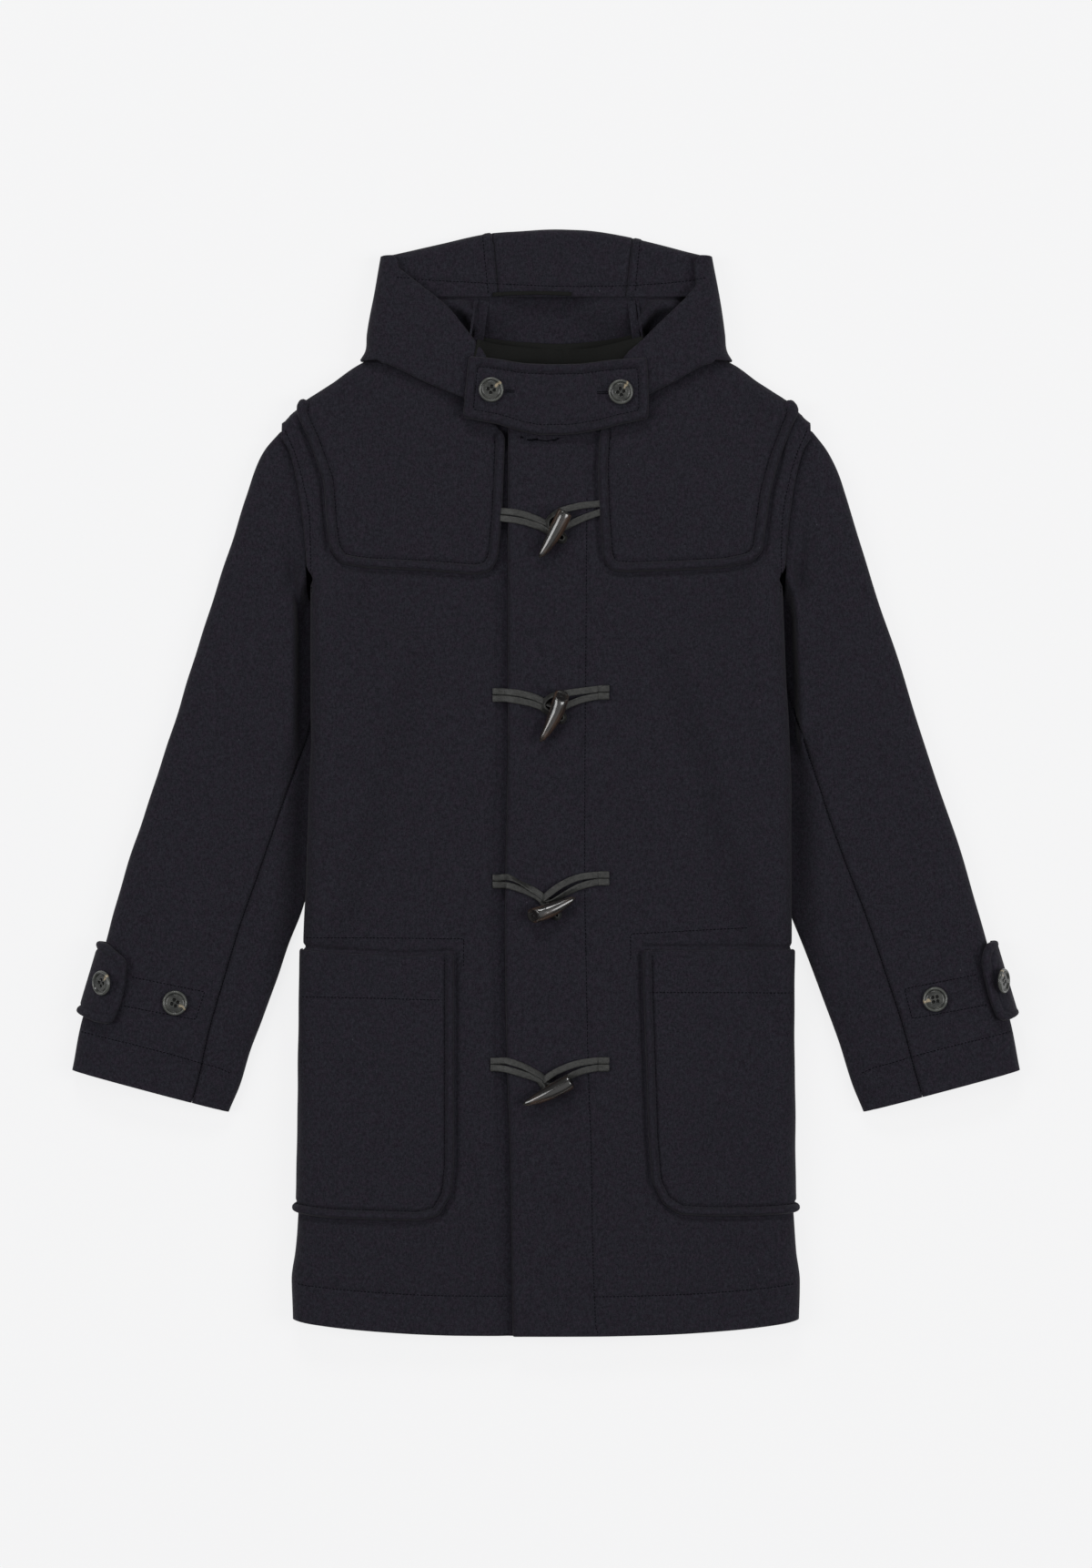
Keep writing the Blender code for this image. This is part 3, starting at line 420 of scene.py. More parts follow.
def back_height(side, out, y):
    """Height of the back's outer face: it lies on the floor, the seam or the yoke."""
    seam = half_width(side, y) - TUCK
    on_seam = ease(seam - 12, seam, out) * (y < 205)
    on_yoke = ease(200, 210, y) * (1 - ease(YOKE_TO_ARMHOLE, 250, out))
    return lift(out, y) + np.maximum(SEAM_STEP * on_seam, LAYER * on_yoke)


def back_top(out):
    """y of the backs' upper edge, where the shoulder fold or the back neck starts."""
    edge = np.where(out < NECK_POINT, read_straight(BACK_NECK, out), read(SHOULDER, out))
    return edge - fold_radius(out) / SHOULDER_SLANT


BODY_ROWS = (-516.5, -503, -480, -440, -404, -372, -300, -225, -157, -110, -60, 0, 60, 105, 130,
             145, 158, 170, 180, 190, 203)
YOKE_BASE = BODY_ROWS[-1]
YOKE_SHARES = (0.12, 0.32, 0.56, 0.8, 1.0)
FOLD_ANGLES = (60, 30, 2.5)


def back_outs(side, y):
    """Out of the back's columns, from its outer edge to the centre seam."""
    seam = half_width(side, y) - TUCK
    edge = seam + FLAT_UNDER / 2 if y < UNDERARM else read(BACK_EDGE, y)
    return np.array([edge, mix(edge, seam, 0.5), seam, seam - 12, 125, NECK_POINT, 50,
                     SEAM_GAP / 2])


def back_grid(side):
    """Points of a back's outer face, which is its lower one."""
    grid = []
    for y in BODY_ROWS:
        outs = back_outs(side, y)
        heights = back_height(side, outs, y)
        grid.append(np.stack((side * outs, y + hem_rise(outs, y), heights), -1))
    for share in YOKE_SHARES:
        edges = (read(BACK_EDGE, mix(YOKE_BASE, BACK_EDGE_TOP, share)),
                 read(YOKE_SIDE, mix(YOKE_BASE, YOKE_SIDE_TOP, share)))
        outs = np.concatenate((edges, back_outs(side, YOKE_BASE)[2:]))
        y = mix(YOKE_BASE, back_top(outs), share)
        grid.append(np.stack((side * outs, y, back_height(side, outs, np.maximum(y, 210))), -1))
    for angle in FOLD_ANGLES:
        radius = fold_radius(outs)
        y = back_top(outs) + radius * cos(radians(angle)) / SHOULDER_SLANT
        bent = fold_height(outs) - radius * sin(radians(angle))
        z = mix(back_height(side, outs, np.full(len(outs), 300)), bent,
                ease(NECK_POINT, FULL_FOLD, outs))
        grid.append(np.stack((side * outs, y, z), -1))
    return np.array(grid)


FINER = 4               # rows and columns in place of each that the formulas give
back_grids = {side: back_grid(side) for side, _ in BOTH_SIDES}
back_cloths = [cloth(f"back_{name}", refine(back_grids[side], FINER), side, (), bulge=0.1)
               for side, name in BOTH_SIDES]


def below_backs(distance):
    """Both backs' upper parts in one grid, moved down and out by a distance."""
    halves = []
    for side in (-1, 1):
        grid = back_grids[side]
        low = grid + side * distance * normals(grid)
        level = np.abs(grid[:, :, 0]) <= NECK_POINT
        low[level] = grid[level] - (0, 0, distance)
        halves.append(low[len(BODY_ROWS):, 1:])
    halves[0][:, -1, 0] = 0
    both = np.concatenate((halves[0], halves[1][:, -2::-1]), axis=1)
    both[:, :, 2] = np.maximum(both[:, :, 2], LAYER - distance)
    return both


cloth("yoke_back", refine(below_backs(LAYER), FINER), -1, ("back_left", "back_right"),
      inner=refine(below_backs(SEAM_GAP), FINER), bulge=0.4)


# ---------------------------------------------------------------- the fronts
# Two fronts of one layer each, cut long enough to roll under at the sides. The left one
# overlaps the right. It is faced down its front edge, and a row of stitches holds that.

BODY_TOP = 28.0         # height of the fronts between centre and side
PLACKET_RISE = 2.0      # extra height of the overlapping fronts
OVERLAP_DROP = 6.2      # the under front lies this much lower beneath the placket
SIDE_RISE = 75          # width over which a front rises to the crest of its side
OVERLAP_OUT = (45, 85)  # out, from where to where the overlap's extra height fades
SHOULDER_FADE = (16, 150)       # below the shoulder line, from where to where its form fades

# Front edge of the armhole, where the body laps over the sleeve: y, out
ARMHOLE = (
    (187, 221),
    (225, 225),
    (263, 231),
    (300, 240),
    (315, 246),
    (332, 253),
)

# Free front edge of the overlapping left front: y, x
PLACKET = (
    (-517, -30.8),
    (-426, -32.1),
    (-345, -33.5),
    (-263, -36.2),
    (-127, -38.1),
    (45, -35.2),
    (335, -35.2),
)

# Stitching that holds the facing: x, y
FACING_STITCH = (
    (48.5, -514),
    (46.2, -502),
    (43.5, -426),
    (42.2, -345),
    (39.4, -263),
    (36.7, -127),
    (36.0, -78),
    (36.6, 37),
    (38.3, 267),
)

# The rumpled end of the placket below the throat tab, and the soft fold beside it
PLACKET_TOP = ((-24, 324), (-17, 320.5), (-9, 321.5), (-2, 319.6), (7, 320.6), (15, 323))
PLACKET_FOLD = ((43, 322), (32, 306), (20, 290))

# Stitching along the armholes: out, y
ARMHOLE_STITCH = (
    (219, 178),
    (220, 220),
    (221, 248),
    (225.7, 275),
    (233.9, 306),
    (244.5, 330.7),
)

# Top of the fronts: out, y
NECKLINE = (
    (0, 335),
    (35, 338),
    (60, 360),
    (80, 390),
    (100, 421),
)


def front_height(side, out, y):
    """Height of the outer face of a front."""
    span = abs(out)
    edge = half_width(side, y) - SIDE_ROLL
    crest = 2 * SIDE_ROLL - 3 * ease(190, 225, y)
    height = mix(BODY_TOP, crest, ease(edge - SIDE_RISE, edge, span))
    height = height + PLACKET_RISE * (1 - ease(*OVERLAP_OUT, span))
    below = read(SHOULDER, span) - y
    shoulder = fold_height(span) + fold_radius(span)
    height = mix(height, shoulder, 1 - ease(*SHOULDER_FADE, below))
    if side < 0:
        height = height - OVERLAP_DROP * (1 - ease(42, 95, out))
    return height + lift(span, y)


def front_top(span):
    """y of a front's top edge, less the fold over the shoulder."""
    edge = np.where(span < NECK_POINT, read(NECKLINE, span), read(SHOULDER, span))
    return edge - fold_radius(span) / SHOULDER_SLANT


def side_point(side, y, arc):
    """Out and height on the rolled side, from the side seam (arc 0) to the crest."""
    edge = half_width(side, y) - SIDE_ROLL
    angle = (arc - FLAT_UNDER) / SIDE_ROLL - pi / 2
    flat = arc <= FLAT_UNDER
    out = np.where(flat, edge - FLAT_UNDER + arc, edge + SIDE_ROLL * np.cos(angle))
    height = np.where(flat, 0.0, SIDE_ROLL + SIDE_ROLL * np.sin(angle))
    return out, height + lift(out, y)


# Places across the rolled side, as arc lengths, and as shares of the armhole's lap
SIDE_STEPS = np.concatenate((np.linspace(0, FLAT_UNDER, 9)[:-1],
                             FLAT_UNDER + SIDE_ARC * np.linspace(0, 1, 19)))
SIDE_KEYS = np.array([0, 0.25 * FLAT_UNDER, 0.5 * FLAT_UNDER, FLAT_UNDER]
                     + [FLAT_UNDER + SIDE_ARC * k / 5 for k in range(1, 6)])
LAP_SHARES = np.interp(SIDE_STEPS, SIDE_KEYS, np.arange(9) / 8)


def left_outs(y, crest):
    """Out of the left front's columns, from the crest of the roll to the free edge."""
    edge = float(read(PLACKET, y))
    return np.concatenate((mix(crest, 101, np.linspace(0, 1, 28)[1:]), np.arange(99.6, 84, -1.3),
                           np.linspace(82, 60, 7), np.arange(58.6, 30, -1.4),
                           np.linspace(29, edge + 5, 15), edge + np.array((3.4, 2.0, 0.9, 0))))


def right_outs(y, crest):
    """The same on the right front, which ends beneath the placket."""
    return np.concatenate((mix(crest, 97, np.linspace(0, 1, 28)[1:]), np.arange(95.6, 80, -1.3),
                           np.linspace(78, 50, 8), np.arange(48, 33, -1.3),
                           np.linspace(31, -28, 13)))


def front_grid(side, outs_at):
    """Points of a front's outer face, from hem to shoulder and from side to centre."""
    grid = []
    low_rows = np.concatenate((
        [-516.5, -515.6, -514, -511.5, -508], np.arange(-504, -491, 4), np.arange(-490, -463, 1.6),
        np.linspace(-460, YOKE_BASE, 140), np.arange(-160, -148, 1.4),
        np.arange(-412, -398, 1.6), np.arange(189, 204, 1.5)))
    low_rows = np.unique(low_rows.round(1))
    reach = SIDE_STEPS[-1]
    for y in low_rows:
        cut = float(np.clip((y - UNDERARM) / 60, 0, 1))
        first = cut * (FLAT_UNDER + 0.72 * SIDE_ARC)
        low_out, low_z = side_point(side, y, mix(first, reach, SIDE_STEPS / reach))
        lap = mix(read(ARMHOLE, y), read(YOKE_SIDE, y), LAP_SHARES)
        flatten = ease(186, YOKE_BASE, y)
        out = mix(low_out, lap, flatten)
        z = mix(low_z, front_height(side, lap, y), flatten)
        inside = outs_at(y, out[-1])
        out = np.concatenate((out, inside))
        z = np.concatenate((z, front_height(side, inside, y)))
        grid.append(np.stack((side * out, y + hem_rise(out, y), z), -1))
    for share in np.linspace(0, 1, 32)[1:]:
        y_side = mix(YOKE_BASE, BACK_EDGE_TOP, share)
        edges = read(ARMHOLE, y_side), read(YOKE_SIDE, mix(YOKE_BASE, YOKE_SIDE_TOP, share))
        out = mix(*edges, LAP_SHARES)
        out = np.concatenate((out, outs_at(y_side, out[-1])))
        y = mix(YOKE_BASE, front_top(abs(out)), share)
        grid.append(np.stack((side * out, y, front_height(side, out, y)), -1))
    for angle in np.linspace(90, 2.5, 9)[1:]:
        span = abs(out)
        radius = fold_radius(span)
        y = front_top(span) + radius * cos(radians(angle)) / SHOULDER_SLANT
        bent = fold_height(span) + radius * sin(radians(angle))
        z = mix(front_height(side, out, y), bent, ease(NECK_POINT, FULL_FOLD, span))
        grid.append(np.stack((side * out, y, z), -1))
    return np.array(grid)


def lengths_along(path):
    """The length of a path up to each of its points."""
    return np.concatenate(([0], np.cumsum(np.linalg.norm(np.diff(path, axis=0), axis=1))))


def dense(path, step, closed=False):
    """Points along a path, no further apart than a step."""
    path = np.asarray(path, float)
    if closed:
        path = np.concatenate((path, path[:1]))
    along = lengths_along(path)
    count = max(int(round(along[-1] / step)), 1)
    at = np.linspace(0, along[-1], count + 1)
    points = np.stack([np.interp(at, along, path[:, k]) for k in range(path.shape[1])], -1)
    return points[:-1] if closed else points


def distance(points, path):
    """How far each point lies from a path, in plan."""
    path = np.asarray(path, float)
    start, step = path[:-1, :2], np.diff(path[:, :2], axis=0)
    flat = points.reshape(-1, points.shape[-1])[:, :2]
    nearest = np.full(len(flat), np.inf)
    for a, d in zip(start, step):
        t = np.clip(((flat - a) @ d) / (d @ d), 0, 1)
        nearest = np.minimum(nearest, np.linalg.norm(flat - a - t[:, None] * d, axis=1))
    return nearest.reshape(points.shape[:-1])


def bump(away, wide):
    """1 on a line, and less the further away from it, down to nearly 0 at twice wide."""
    return np.exp(-(away / wide) ** 2)


def groove(grid, path, deep, wide=1.5):
    """The dent that a row of stitches draws into cloth."""
    return -deep * bump(distance(grid, path), wide)


def waves(grid, deep=0.5):
    """Soft uneven swells of cloth that has been worn and laid out again."""
    x, y = grid[..., 0], grid[..., 1]
    swell = np.sin(x / 23 + 1.7 * np.sin(y / 61)) * np.sin(y / 37 + 1.3 * np.sin(x / 47))
    return deep * (swell + 0.6 * np.sin(x / 11 + y / 29) * np.sin(y / 17 - x / 53))


def hem_stitch(start, end):
    """The row that holds the hem's turn-up, which follows the hem."""
    x = np.linspace(start, end, 40)
    return np.stack((x, -480 + 13 * np.minimum(abs(x) / HEM_HALF, 1) ** 3), -1)


def flipped(path, side):
    """A path given as distances out, put on one side of the coat."""
    return [(side * out, y) for out, y in path]


STITCH_PITCH = 3.3      # from one stitch to the next
STITCH_LENGTH = 2.5
THREAD = 0.9            # thickness of the sewing thread
THREAD_SIDES = 6
# The rings along a stitch: share of its length, share of its thickness, height where it
# goes into the cloth, or None where it lies on top
STITCH_RINGS = ((0, 0.3, -0.3), (0.2, 0.9, None), (0.8, 0.9, None), (1, 0.3, -0.3))


def top_of(*pieces):
    """A function that finds the uppermost point of some pieces in plan, and its normal."""
    trees = []
    for piece in pieces:
        corners = [vertex.co for vertex in piece.data.vertices]
        faces = [tuple(face.vertices) for face in piece.data.polygons]
        trees.append(BVHTree.FromPolygons(corners, faces))

    def find(x, y):
        start = Vector((x, y - MIDDLE_Y, 100)) * MM
        hits = [tree.ray_cast(start, Vector((0, 0, -1))) for tree in trees]
        hits = [hit for hit in hits if hit[0]]
        if not hits:
            return None
        place, normal = max(hits, key=lambda hit: hit[0].z)[:2]
        return np.array(place) / MM + (0, MIDDLE_Y, 0), np.array(normal)

    return find


def melton_thread():
    finish = Finish("thread", Roughness=0.9, Specular_IOR_Level=0.04)
    twist = finish.noise(0.5, 1.0)
    finish.give("Base Color",
                finish.blend(twist, (0.003, 0.003, 0.0045, 1), (0.008, 0.008, 0.011, 1)))
    finish.relief(twist, 0.15)
    return finish


thread = melton_thread()


def sew(name, find, paths, pitch=STITCH_PITCH, thick=THREAD, proud=0.08):
    """Rows of stitches lying on a surface, joined as one piece."""
    points, faces = [], []
    length = pitch * STITCH_LENGTH / STITCH_PITCH
    sides = THREAD_SIDES
    around = np.radians(np.arange(sides) * 360 / sides)[:, None]
    for path in paths:
        path = dense(path, pitch)
        for start, end in zip(path[:-1], path[1:]):
            hits = find(*start), find(*mix(start, end, length / pitch))
            if hits[0] is None or hits[1] is None:
                continue
            first, last = hits[0][0], hits[1][0]
            if np.linalg.norm(last - first) > 2 * length:
                continue
            along = (last - first) / np.linalg.norm(last - first)
            side = np.cross(along, hits[0][1])
            up = np.cross(side, along)
            base = sides * len(points)
            for share, size, high in STITCH_RINGS:
                ring = (side * np.cos(around) + up * np.sin(around)) * thick / 2 * size
                high = proud if high is None else high
                points.append(mix(first, last, share) + up * high + ring)
            for k in range(3 * sides):
                a, b = base + k, base + k // sides * sides + (k + 1) % sides
                faces.append((b, a, a + sides, b + sides))
            faces.append(tuple(range(base, base + sides)))
            faces.append(tuple(range(base + 4 * sides - 1, base + 3 * sides - 1, -1)))
    return make(name, np.concatenate(points), faces, thread, "melton")


front_cloths = {}
front_grids = {1: front_grid(1, left_outs), -1: front_grid(-1, right_outs)}
hem_paths = {1: hem_stitch(46, 232), -1: hem_stitch(-232, -36)}
# The fronts give way along the pockets' mouths, and along the sewn edges of the pockets
# and the yokes
YOKE_SHADES = {
    1: ((223, 333), (220, 302), (211.6, 271), (207.5, 241), (204, 214), (194, 204),
        (168, 199), (127, 197), (73.6, 195), (59, 197), (51, 209), (48, 251), (46.5, 292),
        (48, 325)),
    -1: ((-229, 333), (-224, 321), (-210, 282), (-207, 243), (-203.7, 216), (-193, 202.5),
         (-168, 199), (-119, 197), (-65.7, 193), (-51, 196), (-43, 208.5), (-39, 251),
         (-36, 323)),
}
POCKET_SHADES = {
    1: (((92, -153.2), (130, -153.2), (190, -153), (228, -153)),
        ((88.5, -158), (89.2, -195), (91.7, -263), (94, -331), (97.3, -373), (108, -395),
         (125, -405), (152, -406.5), (190, -406), (228, -404))),
    -1: (((-88, -157), (-132.6, -159.2), (-187, -156.2), (-228, -152.5)),
         ((-84, -160), (-84, -220), (-84, -300), (-84, -358), (-87, -387), (-99, -406),
          (-119, -411), (-155, -410), (-200.6, -408), (-228, -405))),
}
for side, name in BOTH_SIDES:
    grid = front_grids[side]
    seam = flipped(ARMHOLE_STITCH, side)
    high = grid[..., 2] > SIDE_ROLL
    relief = waves(grid) + groove(grid, hem_paths[side], 0.9) + high * groove(grid, seam, 0.9)
    for path in POCKET_SHADES[side] + (YOKE_SHADES[side],):
        relief += groove(grid, path, 2.6, 2.2)
    from_edge = read(ARMHOLE, grid[..., 1]) - side * grid[..., 0]
    upper = ease(180, 200, grid[..., 1])
    relief += upper * 0.9 * bump(from_edge - 4.5, 3.2)
    if side < 0:
        beside = grid[..., 0] - read(PLACKET, grid[..., 1]) + 4
        relief -= 5.5 * bump(beside, 7.5)
    if side > 0:
        relief += groove(grid, FACING_STITCH, 0.9, 1.3)
        from_edge = grid[..., 0] - read(PLACKET, grid[..., 1])
        turned = 1 - np.sqrt(1 - (1 - np.clip(from_edge / 3.4, 0, 1)) ** 2)
        relief += groove(grid, PLACKET_TOP, 3.4, 2.2) + groove(grid, PLACKET_FOLD, 3.0, 5)
        relief += 1.3 * bump(from_edge - 5, 4.5) - 2.2 * turned
    rests_on = ("back_left", "back_right")
    front_cloths[side] = cloth(f"front_{name}", grid, -side, rests_on, relief)

# Rows of stitches on the fronts, with the bars that hold the pockets' top corners
POCKET_BARS = {
    1: ((188, -135), (79, -141), (79, -166)),
    -1: ((-224, -144), (-77, -145.5), (-77, -172)),
}
for side, name in BOTH_SIDES:
    rows = [hem_paths[side], curve(flipped(ARMHOLE_STITCH, side), 6), POCKET_BARS[side]]
    if side > 0:
        rows.append(curve(FACING_STITCH, 6))
    sew(f"stitches_front_{name}", top_of(front_cloths[side]), rows)

# Overcast end of the placket, where the thread goes to and fro over the cloth's edge. The thread is
# made thick and near-black, so that it also paints the shade of the dark slit under the throat tab
end = [mix(np.array(a), np.array(b), t) for a, b in zip(PLACKET_TOP, PLACKET_TOP[1:])
       for t in (0, 0.33, 0.66)]
lifted = [(x, y + 0.9 * sin(2.3 * k)) for k, (x, y) in enumerate(end)]
sew("placket_end_thread_and_shade", top_of(front_cloths[1]), [lifted, end], pitch=2.4, thick=1.9, proud=0.7)

# The facing lies beneath the placket, down to the hem
facing = front_grids[1]
facing_column = int(np.argmin(abs(facing[0, :, 0] - 50)))
facing = (facing + LAYER * normals(facing))[:-8, facing_column:]
cloth("facing_left", facing, -1, ("front_left",), bulge=0.4)


# --------------------------------------------------------------- the pockets
# Two patch pockets, sewn down 8 mm inside their edges, so that the edge stands up in a
# puffed roll. Their outer edge runs on round the side of the coat.

def soften(outline, wide):
    """A closed outline with its corners rounded off."""
    outline = dense(outline, 1.0, closed=True)
    reach = int(wide / 2)
    shifted = [np.roll(outline, k, axis=0) for k in range(-reach, reach + 1)]
    return sum(shifted) / len(shifted)


def front_face(side, x, y, high):
    """Points on a front, round its rolled side and over its shoulder, moved out by high."""
    def at(x, y):
        out = side * x
        edge = half_width(side, y) - SIDE_ROLL
        turn = np.clip((out - edge) / SIDE_ROLL, 0, 2.2) * (y < 180)
        rolled = np.where(turn > 0, edge + SIDE_ROLL * np.sin(turn), out)
        span = abs(rolled)
        top, radius = front_top(span), fold_radius(span)
        bend = np.clip((y - top) * SHOULDER_SLANT / radius, 0, radians(87.5))
        place = np.where(bend > 0, top + radius * np.sin(bend) / SHOULDER_SLANT, y)
        z = front_height(side, rolled, place)
        z = np.where(turn > 0, z - SIDE_ROLL * (1 - np.cos(turn)), z)
        bent = fold_height(span) + radius * np.cos(bend)
        z = mix(z, bent, ease(NECK_POINT, FULL_FOLD, span) * (bend > 0))
        return np.stack((side * rolled, place, z), -1)
    out = np.cross(at(x + 0.3, y) - at(x - 0.3, y), at(x, y + 0.3) - at(x, y - 0.3))
    return at(x, y) + unit(out) * np.asarray(high)[..., None]


def leftward(step):
    """Unit vectors in plan to the left of some steps."""
    return unit(np.stack((-step[:, 1], step[:, 0]), -1))


def patch(node, outline, sewn, face, rests_on, inset, puff=3.2, deep=2.2, thick=CLOTH, cell=5.0):
    """A flat piece sewn on: a crowned roll between its sewn edge and the stitches.

    outline is closed and turns left. sewn is the part of it that is stitched down, and
    face(x, y, high) gives the points of what it lies on, moved out by high. The roll is as
    high as puff and the stitches, inset from the edge, draw it in by deep. Its points lie
    in rings along the outline, and a cell apart inside them.
    """
    rings = [0, 0.5, 1.2, 2.2, 3.6, 5.2, 6.8, 8, 8.6, 9.2, 10, 11, 12.5, 14.5, 17.5]
    loop = np.concatenate((outline, outline[:1]))
    inward = leftward(np.roll(outline, -2, axis=0) - np.roll(outline, 2, axis=0))
    points = [outline[::2]]
    for ring in rings[1:]:
        near = (outline + inward * ring)[::2 if ring < 10 else 3]
        points.append(near[distance(near, loop) > ring - 0.08])
    low, high = outline.min(axis=0), outline.max(axis=0)
    across, up = np.meshgrid(np.arange(low[0], high[0], cell), np.arange(low[1], high[1], cell))
    across[::2] += cell / 2
    inside = np.stack((across.ravel(), up.ravel()), -1)
    points.append(inside[distance(inside, loop) > rings[-1] + cell / 2])
    points = np.concatenate(points)
    edge = list(range(len(outline[::2])))
    found = delaunay_2d_cdt([Vector(p) for p in points], [], [edge], 1, 1e-4)
    points = np.array([tuple(p) for p in found[0]])
    faces = np.array(found[2])
    count = len(points)
    from_edge = distance(points, loop)
    from_sewn = distance(points, sewn)
    share = np.clip(from_sewn / inset, 0, 1)
    rounded = 0.12 + 0.88 * np.sqrt(1 - (1 - np.minimum(from_edge / 2.6, 1)) ** 2)
    roll = puff * np.sin(pi * share ** 0.8) ** 0.9
    dent = deep * bump(from_sewn - inset, 1.4)
    swell = waves(points * 1.3, 0.35) * ease(inset, inset + 20, from_sewn)
    top = face(*points.T, SEAM_GAP + thick * rounded + roll - dent + swell)
    under = face(*points.T, np.full(count, SEAM_GAP))
    sides = dict.fromkeys(pair for a, b, c in faces for pair in ((a, b), (b, c), (c, a)))
    rim = [(a, b) for a, b in sides if (b, a) not in sides]
    walls = [(b, a, a + count, b + count) for a, b in rim]
    all_faces = faces.tolist() + (faces[:, ::-1] + count).tolist() + walls
    points = np.concatenate((top, under))
    piece = make(f"{node}_cloth", points, all_faces, melton, "melton", node)
    # The flat size has 3% over the outline's for the roll
    lay(piece, under[faces], *(high - low) * 1.03, rests_on)
    return piece


def inset_path(sewn, inset):
    """The row of stitches inside a sewn edge, which runs with the piece on its left."""
    sewn = dense(sewn, 2.0)
    path = sewn + leftward(np.gradient(sewn, axis=0)) * inset
    return path[distance(path, sewn) > inset - 0.3]


def sew_on(kind, side, name, edge, rest, turn, inset):
    """A patch on a front, sewn down along its edge, and the row of stitches there.

    rest closes the outline. turn is 1 where both run leftward on the left side.
    """
    outline = soften(flipped(edge + rest, side)[::turn], 9)
    path = dense(flipped(edge, side)[::turn], 3)
    sewn = np.array([outline[np.argmin(np.linalg.norm(outline - p, axis=1))] for p in path])
    piece = patch(f"{kind}_{name}", outline, sewn,
                  lambda x, y, high: front_face(side, x, y, high), (f"front_{name}",), inset)
    return piece, inset_path(sewn, inset)


# Pocket outlines on the left front: out, y. Round the inner and lower edges, which are
# sewn, from the top inner corner; past 231 they turn round the side
POCKETS = {
    1: ((90.5, -156), (91, -195), (93.5, -263), (95.7, -331), (99, -372), (109, -393),
        (125, -403), (152, -404.5), (190, -404), (234, -401.6), (243, -401)),
    -1: ((86, -159), (86, -220), (86, -300), (86, -358), (89, -385.5), (100, -404),
         (119, -409), (155, -408), (200.6, -406), (232, -402), (243, -401)),
}
POCKET_TOPS = {
    1: ((243, -155), (190, -155.6), (130, -156)),
    -1: ((243, -154), (187, -159), (132.6, -162)),
}
# Stitching of each pocket's turned-in top edge: y at its outer and its inner end
POCKET_HEMS = {1: (-195.6, -195.6), -1: (-199, -202.7)}
POCKET_INSET = 8.6
for side, name in BOTH_SIDES:
    pocket, row = sew_on("pocket", side, name, POCKETS[side], POCKET_TOPS[side], side, POCKET_INSET)
    ends = zip((231, 95), POCKET_HEMS[side])
    sew(f"stitches_pocket_{name}", top_of(pocket), [row, flipped(ends, side)])


# ----------------------------------------------------------- the front yokes
# A yoke over each shoulder, cut on its own: it is laid on the front, turned over the
# shoulder fold, and topstitched along its front, lower and armhole edges.

# Sewn edge of each yoke, from the armhole's end of the shoulder round to the neck: out, y
YOKES = {
    1: ((233, 357), (236, 345.5), (230, 333), (218, 302), (209.6, 271), (205.5, 241),
        (202, 216), (193, 206), (168, 201), (127, 199), (73.6, 197), (60, 199), (53, 210),
        (50, 251), (48.5, 292), (50, 325)),
    -1: ((231.5, 357), (233, 345), (222, 321), (208, 282), (205, 243), (201.7, 218),
         (192, 204.5), (168, 201), (119, 199), (65.7, 195), (52, 198), (45, 209.5),
         (41, 251), (38, 323)),
}
YOKE_INSET = 9.6
for side, name in BOTH_SIDES:
    # Beyond the sewn edge the outline runs below the neckline, then over the shoulder fold
    below = (YOKES[side][-1][0] + 5, 70, 85, 98)
    inner = tuple((out, float(front_top(np.array(out)) - 1)) for out in below)
    outs = np.linspace(106, 231, 24)
    fold = radians(86) * fold_radius(outs) / SHOULDER_SLANT
    rest = inner + tuple(zip(outs, front_top(outs) + fold))
    yoke, row = sew_on("yoke", side, name, YOKES[side], rest, -side, YOKE_INSET)
    sew(f"stitches_yoke_{name}", top_of(yoke), [row])


# --------------------------------------------------------------- the sleeves
# Each sleeve is an upper and an under piece, seamed on top and behind. They lie flat at
# the coat's sides, their inner folds under the body and their heads under the armholes.

SLEEVE_THIN = 9.4       # thickness of the sleeve where the body lies on it
SLEEVE_HAIR = 0.15      # each side of the sleeves' seams
SLEEVE_LOW = 18         # height of the sleeve's upper face at its inner fold
SLEEVE_SWELL = 30       # how much it swells between its folds: a quarter of this halfway
GAP_WIDE = {1: 7, -1: 12}       # width of the dark gap between sleeve and body
GAP_DEEP = 5.0          # and how far the sleeve sinks there
SLEEVE_FOLD = 11.5      # radius of the sleeve's outer fold
SLEEVE_WIDE = 150.0     # rough width, which distances across it are shares of
UNDER_SEAM = 0.72       # place of the hind-arm seam on the sleeve's underside
HEAD_FADE = 0.4         # share of the sleeve over which the head's curve fades out
SHOULDER_END = (250, 329)       # outer end of the sleeve head: out, y
CUFF_INNER = -308.4     # y of the cuff at the sleeve's inner fold
CUFF_OUTER = -268.4     # and at its outer one

# Outer fold of the sleeve: y, out
SLEEVE_OUTER = (
    (-268.4, 444.7),
    (-221, 434.5),
    (-149, 413),
    (-119.5, 405),
    (-83, 394.5),
    (-30, 377.5),
    (33, 356),
    (104, 334),
    (168, 313),
    (226.5, 294),
    (269, 281.5),
    (294, 273),
    (313, 263),
    (329, 250),
)

# Sleeve head, from the underarm to the shoulder: share of the way, out, y
HEAD_TOP = (
    (0.00, 155, 130),
    (0.10, 178, 139),
    (0.20, 200, 150),
    (0.28, 215, 161),
    (0.36, 224, 172),
    (0.44, 225, 189),
    (0.55, 226, 218),
    (0.70, 231, 260),
    (0.85, 238.5, 296),
    (1.00, 250, 329),
)
HEAD_UNDER = (
    (0.00, 155, 130),
    (0.12, 182, 139),
    (0.25, 204, 152),
    (0.34, 215, 166),
    (0.42, 217, 187),
    (0.54, 215.5, 215),
    (0.70, 217, 250),
    (0.85, 229, 288),
    (1.00, 250, 329),
)

